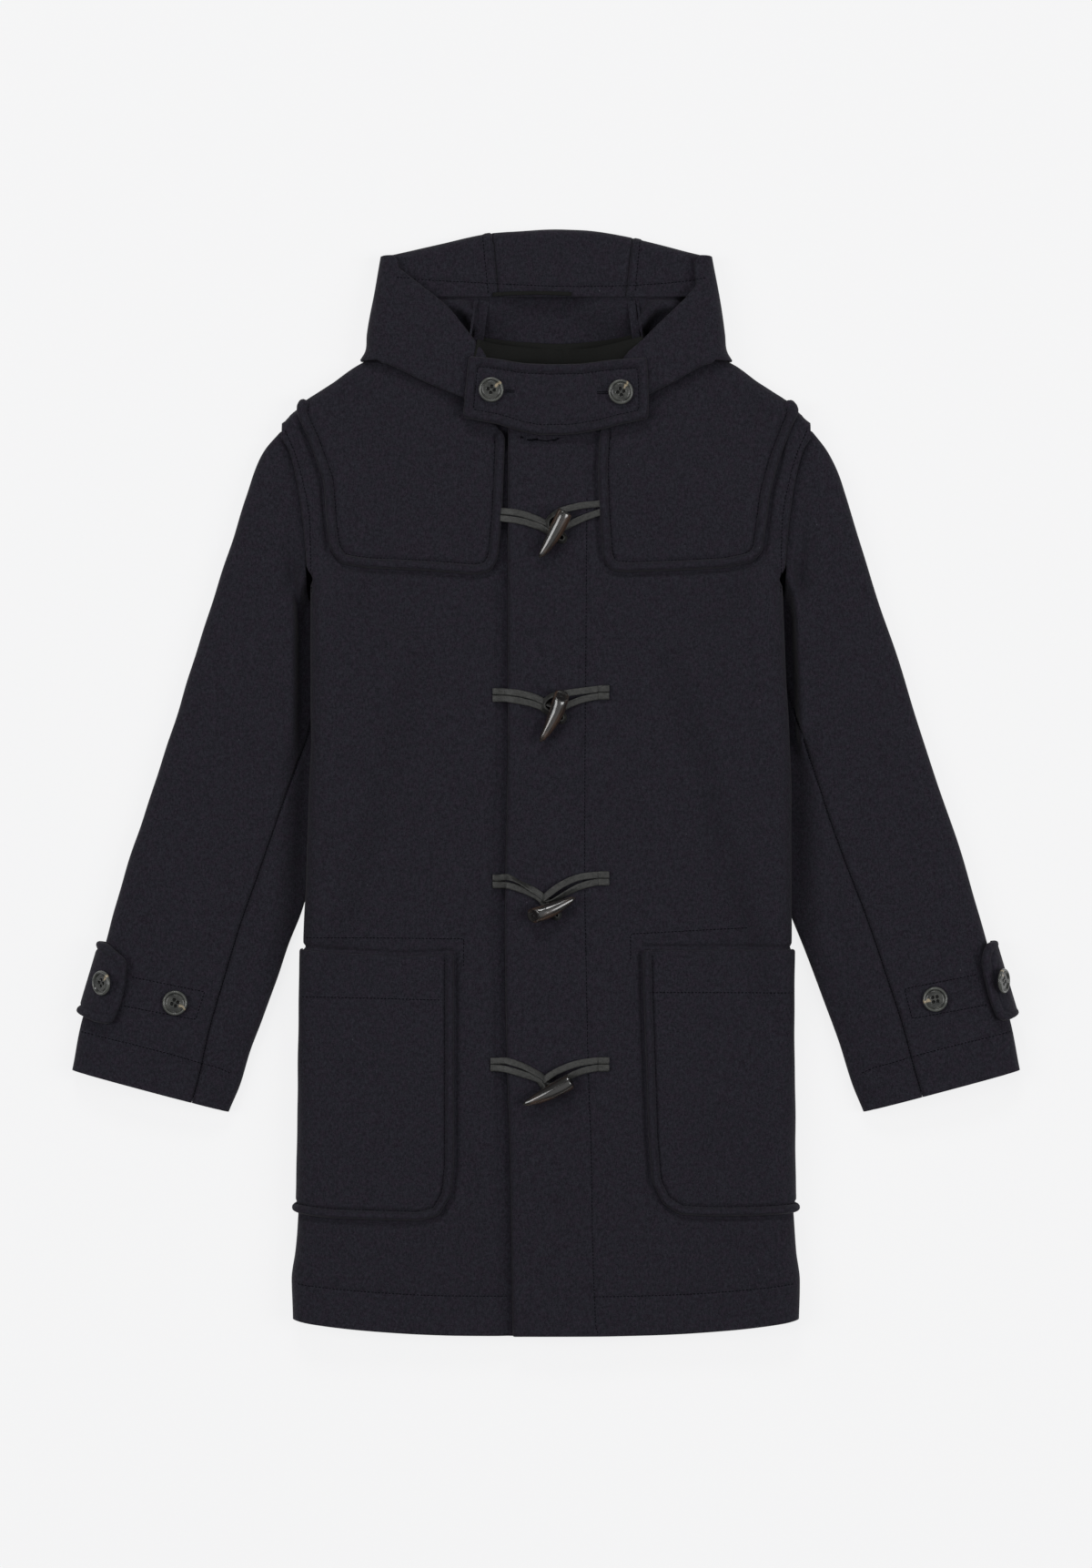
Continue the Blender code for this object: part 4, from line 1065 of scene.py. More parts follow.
# Seam on the sleeve's top, as a share of the width from the inner fold: share of the
# length, right sleeve, left sleeve
SLEEVE_SEAM = (
    (0.00, 0.16, 0.22),
    (0.25, 0.24, 0.33),
    (0.55, 0.29, 0.37),
    (0.80, 0.27, 0.38),
    (1.00, 0.23, 0.37),
)


def sleeve_plan(share, along, table):
    """Out and y on a sleeve: share goes across it, along goes from head to cuff."""
    lap = along < 0
    along = np.maximum(along, 0)
    y_in, y_out = mix(130, CUFF_INNER, along), mix(SHOULDER_END[1], CUFF_OUTER, along)
    x_in, x_out = read(SLEEVE_INNER, y_in), read(SLEEVE_OUTER, y_out)
    out, y = mix(x_in, x_out, share), mix(y_in, y_out, share)
    fade = np.maximum(1 - along / HEAD_FADE, 0) ** 2
    out = out + fade * (read(table, share, 1) - mix(UNDERARM_OUT, SHOULDER_END[0], share))
    y = y + fade * (read(table, share, 2) - mix(130, SHOULDER_END[1], share))
    covered = (205, 228) if table is HEAD_TOP else (256, 275)
    reach = lap * (1 + 7 * ease(*covered, y))
    slant = radians(33) * share ** 2
    return out - reach * np.cos(slant), y + reach * np.sin(slant)


def sleeve_top(side, share, along):
    """Height of the sleeve's upper face."""
    out, y = sleeve_plan(share, along, HEAD_TOP)
    fat = 2 * (SLEEVE_FOLD + 2 * ease(0.55, 0.85, along))
    height = mix(SLEEVE_LOW, fat, share) + SLEEVE_SWELL * share * (1 - share)
    edge = half_width(side, y)
    pinch = (1 - ease(edge + 1, edge + 30, out)) * (1 - ease(150, 215, y))
    wide = GAP_WIDE[side]
    trench = ease(15, 50, y) * (1 - ease(168, 200, y))
    pinch = mix(pinch, 1 - ease(edge + wide - 1, edge + wide + 5, out), trench)
    height = mix(height, SLEEVE_THIN - GAP_DEEP * trench, pinch)
    height -= 7 * bump(out - 237, 7) * ease(165, 190, y) * (1 - ease(210, 285, y))
    out, y = sleeve_plan(share, 0 * along, HEAD_TOP)
    under_front = front_height(side, read(ARMHOLE, y), y) - CLOTH - 2.5
    head = mix(SLEEVE_THIN, under_front, ease(165, 205, y))
    return mix(head, height, ease(0, 0.12 - 0.06 * ease(200, 235, y), along))


def sleeve_base(share, along):
    """Height of the sleeve's lower face, which starts on the back and then lies down."""
    out, y = sleeve_plan(share, np.minimum(along, 0), HEAD_UNDER)
    head = LAYER * (1 - ease(YOKE_TO_ARMHOLE, 250, out)) + CLOTH + 1.5
    return head * ease(222, 252, y) * (1 - ease(0.0, 0.06, along))


def sleeve_line(side, along, kind, value):
    """A line down the sleeve's outer face. value is a share of its top or underside, or
    an angle round one of its folds."""
    value = value + 0 * along
    if kind in ("top", "base"):
        out, y = sleeve_plan(value, along, HEAD_TOP if kind == "top" else HEAD_UNDER)
        z = sleeve_top(side, value, along) if kind == "top" else sleeve_base(value, along)
        return np.stack((side * out, y, z), -1)
    outer = kind == "outer"
    end = 1.0 if outer else 0.0
    high, low = sleeve_top(side, end, along), sleeve_base(end, along)
    radius = (high - low) / 2
    angle = np.radians(value)
    inset = radius * (1 - np.cos(angle)) / SLEEVE_WIDE
    share = 1 - inset if outer else inset
    upper = sleeve_plan(share, along, HEAD_TOP)
    lower = sleeve_plan(share, along, HEAD_UNDER)
    weight = (1 - np.sin(angle)) / 2
    return np.stack((side * mix(upper[0], lower[0], weight), mix(upper[1], lower[1], weight),
                     (high + low) / 2 + radius * np.sin(angle)), -1)


SLEEVE_ROWS = np.concatenate(([-1, 0, 0.006], np.linspace(0.012, 0.90, 140),
                              np.linspace(0.904, 0.955, 22), np.linspace(0.96, 0.995, 9),
                              [0.998, 1.0]))


sleeve_cloths = {}
sleeve_grids = {}
for side, name in BOTH_SIDES:
    seam = read(SLEEVE_SEAM, np.maximum(SLEEVE_ROWS, 0), column(side))
    near_seam = (0, 0.8, 1.6, 2.6, 4)
    beside = near_seam[-1] / SLEEVE_WIDE
    upper = [("top", seam + d / SLEEVE_WIDE) for d in near_seam]
    upper += [("top", mix(seam + beside, 0.9, v)) for v in np.linspace(0, 1, 30)[1:]]
    upper += [("outer", v) for v in np.linspace(90, -90, 15)]
    upper += [("base", v) for v in np.linspace(0.9, UNDER_SEAM + 0.001, 9)]
    under = [("base", v) for v in np.linspace(UNDER_SEAM - 0.001, 0.1, 20)]
    under += [("inner", v) for v in np.linspace(-90, 90, 13)]
    under += [("top", mix(0.09, seam - beside, v)) for v in np.linspace(0, 1, 12)]
    under += [("top", seam - d / SLEEVE_WIDE) for d in near_seam[-2::-1]]
    for part, columns in (("upper", upper), ("under", under)):
        lines = [sleeve_line(side, SLEEVE_ROWS, kind, value) for kind, value in columns]
        grid = np.stack(lines, axis=1)
        sleeve_grids[side, part] = grid
        # The seams draw the cloth in along both its edges
        across = np.linalg.norm(np.diff(grid, axis=1), axis=2).cumsum(axis=1)
        across = np.concatenate((np.zeros((len(grid), 1)), across), axis=1)
        nearest = np.minimum(across, across[:, -1:] - across)
        relief = waves(grid, 0.7) * ease(0, 25, nearest) - 3.0 * bump(nearest, 1.7)
        for edge, next_in in ((0, 1), (-1, -2)):
            grid[:, edge] += SLEEVE_HAIR * unit(grid[:, next_in] - grid[:, edge])
        node = f"sleeve_{name}_{part}"
        sleeve_cloths[side, part] = cloth(node, grid, -side, (), relief, bulge=0.1)


# The cuffs are hemmed, and the ends of the tabs' stays are sewn down: out, y
CUFF_STITCH = ((435, -232.4), (390, -243), (344, -255), (324, -261.4), (308, -265.6),
               (295, -271.6))
STAYS = {
    1: ((402, -179), (335, -192), (342, -220), (413, -207)),
    -1: ((387, -181), (319, -195), (327.5, -221), (395, -208)),
}
for side, name in BOTH_SIDES:
    on_sleeve = top_of(*(sleeve_cloths[side, part] for part in ("upper", "under")))
    sew(f"stitches_sleeve_{name}", on_sleeve,
        [flipped(CUFF_STITCH, side), flipped(STAYS[side], side)])
    # The thread that shows down in the seam on the sleeve's top. It is thick and dark, so that it
    # also paints the shade of the seam's groove
    seam = sleeve_grids[side, "upper"][12:-2:4, 0, :2] + (0.5 * side, 0)
    sew(f"sleeve_seam_thread_and_shade_{name}", on_sleeve, [seam], pitch=2.6, thick=1.1, proud=-0.1)


# ------------------------------------------------------------------ the hood
# Two shaped sides and a centre strip. The hood lies folded: its crown is turned forward
# over its top edge, and its front edges are turned in as two broad flaps over the neck.

HOOD_FOLD = 9.0         # radius of the fold over the top of the hood
FLAP_HIGH = 34.3        # height of the hood's side flaps at the throat
FLAP_LOW = 25.0         # and at the top corners
FLAP_LIP = 4.0          # width of the rounded lip along the flaps' folded front edge
FLAP_DIP = 1.4          # and how far it dips
CROWN_HEM = 455.6
HOOD_BASE = 413         # y from which the lower seams of the centre strip are read
HOOD_CREST = 506        # and y up to which they are read
CROWN_START = 515       # y at which the crown's seams start
HOOD_HAIR = 0.4         # each side of the hood's seams
STRIP_HAIR = 0.15       # and of the centre strip at those seams
ROLL_RISE = 0.45        # rise of the side's roll beside that of the fold over the top

# Outline of the hood's folded top: x, y
HOOD_TOP = (
    (-155, 492.6),
    (-101, 505),
    (-54, 515.3),
    (-13, 518),
    (17, 519),
    (40, 518.2),
    (60, 515.4),
    (81, 511.4),
    (132.6, 498),
    (156, 492.6),
)

# Seams between the centre strip and the sides, in the lower layer and on the crown: y, x, x
HOOD_SEAMS = (
    (409, -62, 85),
    (456, -56, 79.5),
    (515, -50, 81),
)
CROWN_SEAMS = (
    (455, -44.5, 74.5),
    (488, -47.3, 78),
    (515, -50, 81),
)

# Outer side of the hood: y, out on the right, out on the left
HOOD_SIDES = (
    (396, 174.0, 175.0),
    (404, 169.5, 170.5),
    (420, 168.0, 168.5),
    (465, 160.0, 161.0),
    (493, 154.5, 155.5),
)

# Folded front edges of the hood, throat to top corner: y, out on the right, on the left
HOOD_FRONT = (
    (350, 46, 62),
    (375, 49, 66),
    (400.6, 57, 75),
    (414, 67, 90),
    (429, 79, 105),
    (443, 90, 119),
    (453.5, 101.5, 130),
    (466, 117.5, 141),
    (478, 133, 151),
    (489, 146, 160),
)

# Lower edge of the hood's flaps, lying on the yoke: out, y
FLAP_HEM = (
    (50, 350),
    (80, 359),
    (113, 371),
    (148, 386),
    (171, 389),
    (175, 392.5),
)

# y on each row of a hood's side: at its roll, and at its folded front edge
HOOD_ROWS = ((396.0, 350), (414, 388), (431, 418), (448, 441), (464, 458), (480, 474.5),
             (485, 480), (489, 484.5), (493, 488))


def hood_low(x):
    """y of the hood's lower edge: the back neck seam, then just outside the shoulders."""
    span = abs(x)
    beyond = mix(0.6, LAYER / SHOULDER_SLANT + 0.3, ease(100, 108, span))
    inside = read_straight(BACK_NECK, span) + 0.6
    return np.where(span < NECK_POINT, inside, read(SHOULDER, span) + beyond)


# Folds in the hood's sides, just inside its front edges
HOOD_RIDGES = {
    -1: ((-104, 446), (-92, 449), (-80, 448), (-71, 441), (-66, 428), (-63, 416)),
    1: ((122, 447), (110, 449), (100, 446), (93, 437), (86, 424), (81, 412)),
}


def hood_raise(x, y):
    """How far the hood's lower layer is raised: it fills the crown up to its hem."""
    middle = 1 - 0.9 * np.exp(-((x - 2) / 33) ** 4)
    return 11.8 * middle * ease(414, 452, y) * (1 - ease(476, 498, y))


def hood_side(side):
    """Points of a hood side's outer face: back, roll and front flap."""
    grid = []
    for row in np.concatenate((np.linspace(0, 5, 34), np.linspace(5, 8, 12)[1:])):
        share = min(row / 5, 1.0)
        bend = radians(np.interp(row, (5, 6, 7, 8), (-90, -54, -27, -1.6)))
        y_roll, y_front = (np.interp(row, range(9), [r[k] for r in HOOD_ROWS]) for k in (0, 1))
        place = (y_roll - HOOD_ROWS[0][0]) / (HOOD_ROWS[-1][0] - HOOD_ROWS[0][0])
        base = HOOD_FOLD + HOOD_FOLD * sin(bend)
        beyond = HOOD_FOLD * cos(bend)
        flap = mix(FLAP_HIGH, FLAP_LOW, ease(0.2, 1, place))
        low = base * ROLL_RISE
        radius = (flap - low) / 2
        roll = read(HOOD_SIDES, y_roll, column(side)) - radius
        # Across the back, from the seam with the centre strip to the roll
        part = np.concatenate(([0, 0.01], np.linspace(0.03, 1, 40)))
        seam = read(HOOD_SEAMS, mix(HOOD_BASE, HOOD_CREST, share), column(side))
        x = mix(seam, side * roll, part)
        x = x + side * HOOD_HAIR * (part == 0)
        y = mix(hood_low(x), read(HOOD_TOP, x) - HOOD_FOLD, share) + beyond
        back = np.stack((x, mix(y, y_roll, part ** 4), mix(base, low, part ** 4)), -1)
        ridge = 10.0 * bump(distance(back, HOOD_RIDGES[side]), 4.4)
        flat = (1 - ease(0.55, 0.85, part)) * (row <= 5)
        limit = 12.2 + 9 * (1 - ease(446, 453, back[:, 1]))
        back[:, 2] += np.minimum(hood_raise(back[:, 0], back[:, 1]) + ridge, limit) * flat
        angle = np.radians(np.linspace(-78, 90, 15))
        x = side * (roll + radius * np.cos(angle))
        z = low + radius + radius * np.sin(angle)
        around = np.stack((x, y_roll + 0 * x, z), -1)
        front = np.minimum(read(HOOD_FRONT, y_front, column(side)), roll - 6)
        reach = hypot(front - roll, y_front - y_roll)
        lip = min(FLAP_LIP, 0.45 * reach) / reach
        part = np.concatenate((np.linspace(0, 1 - lip, 26)[1:], 1 - lip * np.array((0.66, 0.3, 0))))
        out = mix(roll, front, part)
        straight = mix(396, 350, (174 - out) / 124)
        shape = (read(FLAP_HEM, out) - straight) * (1 - place) ** 3
        past = np.clip((part - 1 + lip) / lip, 0, 1)
        y = mix(y_roll, y_front, part) + shape * (1 - past)
        over = np.stack((side * out, y, flap - FLAP_DIP * past ** 2), -1)
        grid.append(np.concatenate((back, around, over)))
    return np.array(grid)


def crown(xs_at):
    """Points of the crown: up over the hood's top fold and forward to its hem."""
    grid = []
    for angle in np.radians(np.linspace(1.6, 90, 12)):
        x = xs_at(CROWN_START)
        y = read(HOOD_TOP, x) - HOOD_FOLD + HOOD_FOLD * np.cos(angle)
        grid.append(np.stack((x, y, np.full(len(x), HOOD_FOLD + HOOD_FOLD * sin(angle))), -1))
    for share in np.concatenate((np.linspace(0, 0.97, 34)[1:], [0.985, 1.0])):
        x = xs_at(mix(HOOD_CREST, CROWN_HEM, share))
        y = mix(read(HOOD_TOP, x) - HOOD_FOLD, CROWN_HEM, share)
        grid.append(np.stack((x, y, np.full(len(x), 2 * HOOD_FOLD - 0.3 * share)), -1))
    return np.array(grid)


# Where the hem that is turned in behind each front edge shows through
TURNED_EDGES = {
    -1: ((-133, 420), (-121, 403.5), (-107, 392), (-90, 374.5), (-82, 366)),
    1: ((159.5, 422), (150, 410.5), (133, 392), (115, 380)),
}
CROWN_REACH = {1: (141, 153), -1: (126, 146)}
CROWN_STITCH = ((-140, 473), (-100, 470.5), (-54, 468), (-10, 466), (30, 465), (76, 466),
                (110, 468), (150, 472))
hood_cloths = []
for side, name in BOTH_SIDES:
    grid = hood_side(side)
    relief = waves(grid, 0.6) + (grid[..., 2] > 20) * groove(grid, TURNED_EDGES[side], 0.7, 2.2)
    hood_cloths.append(cloth(f"hood_{name}", grid, -side, (), relief))

    def crown_xs(y):
        seam = read(CROWN_SEAMS, y, column(side)) + side * HOOD_HAIR
        end = side * mix(*CROWN_REACH[side], ease(455, 505, y))
        return mix(seam, end, np.concatenate(([0, 0.01, 0.022], np.linspace(0.035, 1, 60))))

    grid = crown(crown_xs)
    from_seam = abs(grid[..., 0] - grid[:, :1, 0])
    relief = waves(grid, 0.4) - 2.0 * bump(from_seam, 1.3)
    relief += groove(grid, CROWN_STITCH, 0.8, 1.4) + 0.8 * (1 - ease(7.2, 8.8, from_seam))
    hood_cloths.append(cloth(f"hood_crown_{name}", grid, -side, (), relief, bulge=0.3))

# The centre strip runs from the back of the neck up and over the crown
STRIP_PARTS = np.concatenate(([0, 0.006, 0.013], np.linspace(0.022, 0.978, 80), [0.987, 0.994, 1]))


def strip_xs(seams, y):
    """x across the strip, between its seams."""
    return mix(read(seams, y, 1) + STRIP_HAIR, read(seams, y, 2) - STRIP_HAIR, STRIP_PARTS)


strip = []
for share in np.linspace(0, 1, 44):
    x = strip_xs(HOOD_SEAMS, mix(HOOD_BASE, HOOD_CREST, share))
    y = mix(hood_low(x), read(HOOD_TOP, x) - HOOD_FOLD, share)
    strip.append(np.stack((x, y, hood_raise(x, y)), -1))
for angle in np.radians(np.linspace(-90, -1.6, 9)[1:]):
    y = read(HOOD_TOP, x) - HOOD_FOLD + HOOD_FOLD * np.cos(angle)
    strip.append(np.stack((x, y, np.full(len(x), HOOD_FOLD + HOOD_FOLD * sin(angle))), -1))
grid = np.concatenate((np.array(strip), crown(lambda y: strip_xs(CROWN_SEAMS, y))))
from_seam = np.minimum(abs(grid[..., 0] - grid[:, :1, 0]), abs(grid[..., 0] - grid[:, -1:, 0]))
upper = grid[..., 2] > HOOD_FOLD
relief = upper * (waves(grid, 0.4) + groove(grid, CROWN_STITCH, 0.8, 1.4))
relief -= upper * 2.0 * bump(from_seam, 1.3)
hood_cloths.append(cloth("hood_center", grid, -1, (), relief, bulge=0.3))
CROWN_SEAM_STITCHES = (
    ((-59.5, 512), (-57, 488), (-54, 458)),
    ((88, 507), (86, 488), (83.5, 460)),
)
sew("stitches_hood", top_of(*hood_cloths), [curve(CROWN_STITCH, 6), *CROWN_SEAM_STITCHES])


STRAP_SIDES = 18        # points round a strap's section


def over_neighbours(values, reach, rule):
    """The highest or the mean of each value and as many as reach on both its sides."""
    beside = np.pad(values, reach, mode="edge")
    return rule([beside[k:k + len(values)] for k in range(2 * reach + 1)], axis=0)


def rings_of(rings):
    """The points and faces of a tube through rings of points, closed at both ends."""
    a = np.arange(rings.shape[0] * rings.shape[1]).reshape(rings.shape[:2])
    b = np.roll(a, -1, axis=1)
    faces = np.stack((a[:-1], a[1:], b[1:], b[:-1]), -1).reshape(-1, 4).tolist()
    return rings.reshape(-1, 3), faces + [a[0].tolist(), a[-1, ::-1].tolist()]


def strap(path, find, width, thick):
    """Points and faces of a flat strip over the cloth: x, y, height, lean in degrees."""
    path = curve(path, 6)
    ground = np.array([find(x, y)[0][2] for x, y in path[:, :2]])
    ground = over_neighbours(over_neighbours(ground, 4, np.max), 6, np.mean)
    middle = np.column_stack((path[:, :2], ground + path[:, 2]))
    ahead = unit(np.gradient(middle, axis=0))
    side = unit(np.cross((0, 0, 1), ahead))
    up = np.cross(ahead, side)
    lean = np.radians(path[:, 3])[:, None]
    across, out = side * np.cos(lean) + up * np.sin(lean), up * np.cos(lean) - side * np.sin(lean)
    # The section is a rectangle with its corners rounded off
    turn = 2 * pi * np.arange(STRAP_SIDES) / STRAP_SIDES
    wide = width / 2 * np.sign(np.cos(turn)) * np.abs(np.cos(turn)) ** 0.45
    high = thick / 2 * np.sign(np.sin(turn)) * np.abs(np.sin(turn)) ** 0.75
    return rings_of(middle[:, None] + across[:, None] * wide[:, None] + out[:, None] * high[:, None])


def joined(shapes):
    """The points and faces of some shapes as one."""
    points, faces, start = [], [], 0
    for shape_points, shape_faces in shapes:
        points.append(shape_points)
        faces += [tuple(start + corner for corner in face) for face in shape_faces]
        start += len(shape_points)
    return np.concatenate(points), faces


def twill_finish():
    finish = Finish("twill", Roughness=0.8, Specular_IOR_Level=0.15)
    slub = finish.noise(1.2, 2.0)
    finish.give("Base Color",
                finish.blend(slub, (0.0052, 0.0055, 0.0050, 1), (0.0118, 0.0121, 0.0110, 1)))
    finish.relief(slub, 0.3)
    return finish


# The twill facing behind the neck, with the tapes on its seams: path in x and y, width
NECK_TAPES = (
    (((-66, 404), (-45, 400), (-7, 397.5), (20, 397), (50, 398), (92, 407)), 21.0),
    (((-64, 415.4), (-35, 411.6), (-7, 409.8), (15, 409), (40, 410.6), (65, 413.6),
      (92, 419.6)), 6.5),
    (((20.2, 408), (20.2, 400), (20.2, 388)), 10.0),
    (((-50, 457.2), (-30, 458.4), (-2, 458.8), (24, 457.8)), 3.6),
)
# Welts of the seams between the hood's centre strip and its sides
HOOD_TAPES = (
    (((-57.6, 452), (-59.5, 442), (-61.5, 428), (-63.5, 413)), 9.5),
    (((79.6, 452), (81, 442), (83, 428), (85, 414)), 7.5),
    (((-66.3, 451), (-67.6, 440), (-69.2, 428), (-71, 415)), 2.2),
    (((85.7, 451), (87, 440), (88.6, 428), (90.5, 415)), 2.2),
)
inside_top = top_of(*hood_cloths, *back_cloths)


def inside_find(x, y):
    """The top of the inside, which is also there on the line of the neck seam."""
    return inside_top(x, y) or inside_top(x, y + 2) or inside_top(x, y - 3)


TAPE_THICK = 1.2
for name, tapes, finish, step in (("neck_tapes", NECK_TAPES, twill_finish(), 0.25),
                                  ("hood_tapes", HOOD_TAPES, melton, 0.0)):
    low = 0.5 if step else 0.6
    shapes = [strap([(x, y, low + step * k, 0) for x, y in path], inside_find, wide, TAPE_THICK)
              for k, (path, wide) in enumerate(tapes)]
    make(name, *joined(shapes), finish, "melton")


# ------------------------------------------------------------- the cuff tabs
# A short strap on each sleeve. It comes round the outer fold of the cuff and is held down
# on top by a button. It stands a little off the sleeve.

CUFF_TAB_THICK = 3.8    # less the roll that stands up along its edges
FOLD_START = np.array((413.0, -149.0))      # on the cuff's outer fold: out, y
FOLD_AHEAD = np.array((0.286, -0.958))      # direction of the fold towards the cuff's hem
FOLD_OUT = np.array((0.958, 0.286))

# Under face of each tab across the sleeve, from its free end: inward of the fold, height
TAB_CURVES = {
    1: ((14.5, 32.2), (9, 31.4), (3.6, 28.6), (-0.5, 25), (-3.4, 20.5), (-4.4, 15.5),
        (-4, 11), (-2.4, 6.5)),
    -1: ((31, 30.8), (25, 33.4), (18, 34.0), (12, 31.8), (6, 28.2), (1.6, 24.2), (-1.2, 19.6),
         (-2.0, 14), (-1.2, 9), (1.2, 4.6)),
}

# Outline of each tab laid flat: from its free end round the fold, down the sleeve
TAB_OUTLINES = {
    1: ((1.5, 26), (0.1, 48.6), (1, 64), (2.4, 70.5), (7.1, 74.5), (16, 74.8), (36, 73),
        (36, 0), (14.3, 0.5), (7, 7.1), (3.2, 15)),
    -1: ((1.2, 33), (0.2, 50), (2.2, 66), (4, 70.5), (8, 72), (18.5, 73.2), (31, 72), (57, 70),
         (57, 0), (29, 0), (11, 6.9), (7.5, 9.4), (5, 14)),
}


def cuff_face(side, along, down, high):
    """Points of a tab's under face, moved out by high."""
    bend = curve(TAB_CURVES[side], 8)
    ahead = unit(np.gradient(bend, axis=0))
    at = lengths_along(bend)
    inward, z, turn, fall = (np.interp(along, at, values) for values in (*bend.T, *ahead.T))
    inward = inward + high * fall
    place = FOLD_START + FOLD_AHEAD * abs(down)[:, None] - FOLD_OUT * inward[:, None]
    return np.stack((side * place[:, 0], place[:, 1], z - high * turn), -1)


for side, name in BOTH_SIDES:
    outline = soften([(along, -side * down) for along, down in TAB_OUTLINES[side]][::side], 6)
    patch(f"cuff_tab_{name}", outline, np.concatenate((outline, outline[:1])),
          lambda x, y, high: cuff_face(side, x, y, high), (f"sleeve_{name}_upper",),
          inset=8.0, puff=1.6, deep=0.9, thick=CUFF_TAB_THICK, cell=3.0)


# ------------------------------------------------------------ the throat tab
# A double strap across the throat, buttoned at both ends.

TAB_THICK = 3.6         # less the roll that stands up along its edges
TAB_HIGH = 34.9         # underside of the throat tab over the hood
TAB_LOW = 31.4          # and over the placket
TAB = ((-77.4, 341), (-65, 338.5), (-46, 335), (-26, 329), (-7, 325), (26, 325.5), (52, 330),
       (71, 335), (95.5, 340), (96, 355), (95.3, 380), (94, 397.5), (58, 394.7), (32, 391.5),
       (6, 391), (-20, 392), (-53, 397), (-72, 398.5), (-74, 380), (-76.5, 355))


def tab_face(x, y, high):
    """Points of the tab's under face, moved up by high."""
    over = np.where(x < 0, ease(-28, -42, x), ease(44, 58, x))
    return np.stack((x, y, mix(TAB_LOW, TAB_HIGH, over) + np.asarray(high)), -1)


TAB_INSET = 9.4
outline = soften(TAB, 7)
sewn = np.concatenate((outline, outline[:1]))
tab_cloth = patch("throat_tab", outline, sewn, tab_face, ("hood_left", "hood_right"),
                  inset=TAB_INSET, thick=TAB_THICK, puff=1.7, deep=1.2)
sew("stitches_throat_tab", top_of(tab_cloth), [inset_path(sewn, TAB_INSET)])

# Buttonholes, with short stitches along both lips: x at their ends, y
BUTTONHOLES = ((-39.5, -29.5, 365.5), (48.0, 58.0, 364.3))
lips = []
for start, end, y in BUTTONHOLES:
    for x in np.arange(start, end, 0.75):
        lips += [((x, y + 0.25), (x, y + 1.75)), ((x, y - 0.25), (x, y - 1.75))]
sew("buttonholes", top_of(tab_cloth), lips, pitch=1.5, thick=0.7, proud=0.15)


# --------------------------------------------------------------- the buttons
# Six four-hole buttons with a raised rim, turned from marbled horn: two on the throat tab,
# one on each cuff tab, and one on each sleeve for the tab to be buttoned tighter.

BUTTON_FACE = 2.1       # height of the middle of a button
HOLE_OUT = 2.9          # from the button's middle to a hole's
HOLE_RADIUS = 1.5

# Rim of a button, from its face over the edge and under: radius, height
BUTTON_RIM = ((7.4, 2.1), (7.9, 1.95), (8.2, 1.7), (8.5, 1.8), (8.9, 2.5), (9.4, 3.2),
              (10.0, 3.55), (10.6, 3.5), (11.2, 3.1), (11.6, 2.3), (11.7, 1.6), (11.4, 0.8),
              (10.6, 0.1), (8.0, 0.0), (0.3, 0.0))

# Name, x, y, lean outwards in degrees, height of the leaning ones, turn in degrees
BUTTONS = (
    ("button_throat_right", -51.1, 366.8, 0, None, 35),
    ("button_throat_left", 69.7, 364.7, 0, None, 55),
    ("button_sleeve_right", -346.5, -205.3, 0, None, -32),
    ("button_sleeve_left", 363.4, -201.9, 0, None, 190),
    ("button_tab_right", -413.6, -186.4, -43, 36.2, 38),
    ("button_tab_left", 425.8, -184.6, 62, 33.6, 120),
)


def button_finish():
    finish = Finish("button_horn", Roughness=0.24, Specular_IOR_Level=0.5, Coat_Weight=0.2,
                    Coat_Roughness=0.12)
    whole = finish.add("NewGeometry", output="Position")
    cloud = finish.noise(5, 4.0, whole)
    warp = finish.noise(4, 2.0, whole)
    marble = finish.blend(finish.rise(cloud, 0.35, 0.68),
                          (0.024, 0.0255, 0.0240, 1), (0.062, 0.064, 0.058, 1))
    ahead, across, height = (finish.add("SeparateXYZ", {}, {0: finish.place}, axis)
                             for axis in "XYZ")
    flat = finish.stretched(1, 1, 0)
    out = finish.add("VectorMath", {"operation": "LENGTH"}, {0: flat}, "Value")
    # Painted highlight: the raised rim is painted paler, for the ring of light that its crown
    # catches
    rim = finish.rise(out, 0.0090, 0.0097)
    shell = finish.blend(rim * 0.55, marble, (0.11, 0.115, 0.105, 1))
    off = abs(across + warp * 0.006 - 0.003)
    streak = (1 - finish.rise(off, 0.0004, 0.0018)) * finish.rise(ahead, 0.0035, 0.0055)
    streaked = finish.blend(streak * 0.85, shell, (0.40, 0.33, 0.22, 1))
    # Painted shade: the floors of the four holes are painted near-black, for the shade down in them
    sunk = (1 - finish.rise(height, 0.0010, 0.0019)) * (1 - finish.rise(out, 0.0045, 0.0055))
    finish.give("Base Color", finish.blend(sunk, streaked, (0.001, 0.001, 0.001, 1)))
    finish.give("Roughness", cloud * 0.16 + sunk * 0.6 + 0.16)
    return finish


button_horn = button_finish()


def lathe_rings(profile, sides):
    """Points of a turned body, and its faces; both its ends are closed."""
    turn = 2 * pi * np.arange(sides) / sides
    points = np.array([(r * np.cos(turn), r * np.sin(turn), z + 0 * turn) for r, z in profile])
    return rings_of(points.transpose(0, 2, 1))


def put(piece, x, y, z, *turns):
    """Place a piece that was made at the origin, turned by some matrices."""
    piece.matrix_world = Matrix.Translation(Vector((x, y - MIDDLE_Y, z)) * MM)
    for turn in turns:
        piece.matrix_world = piece.matrix_world @ turn


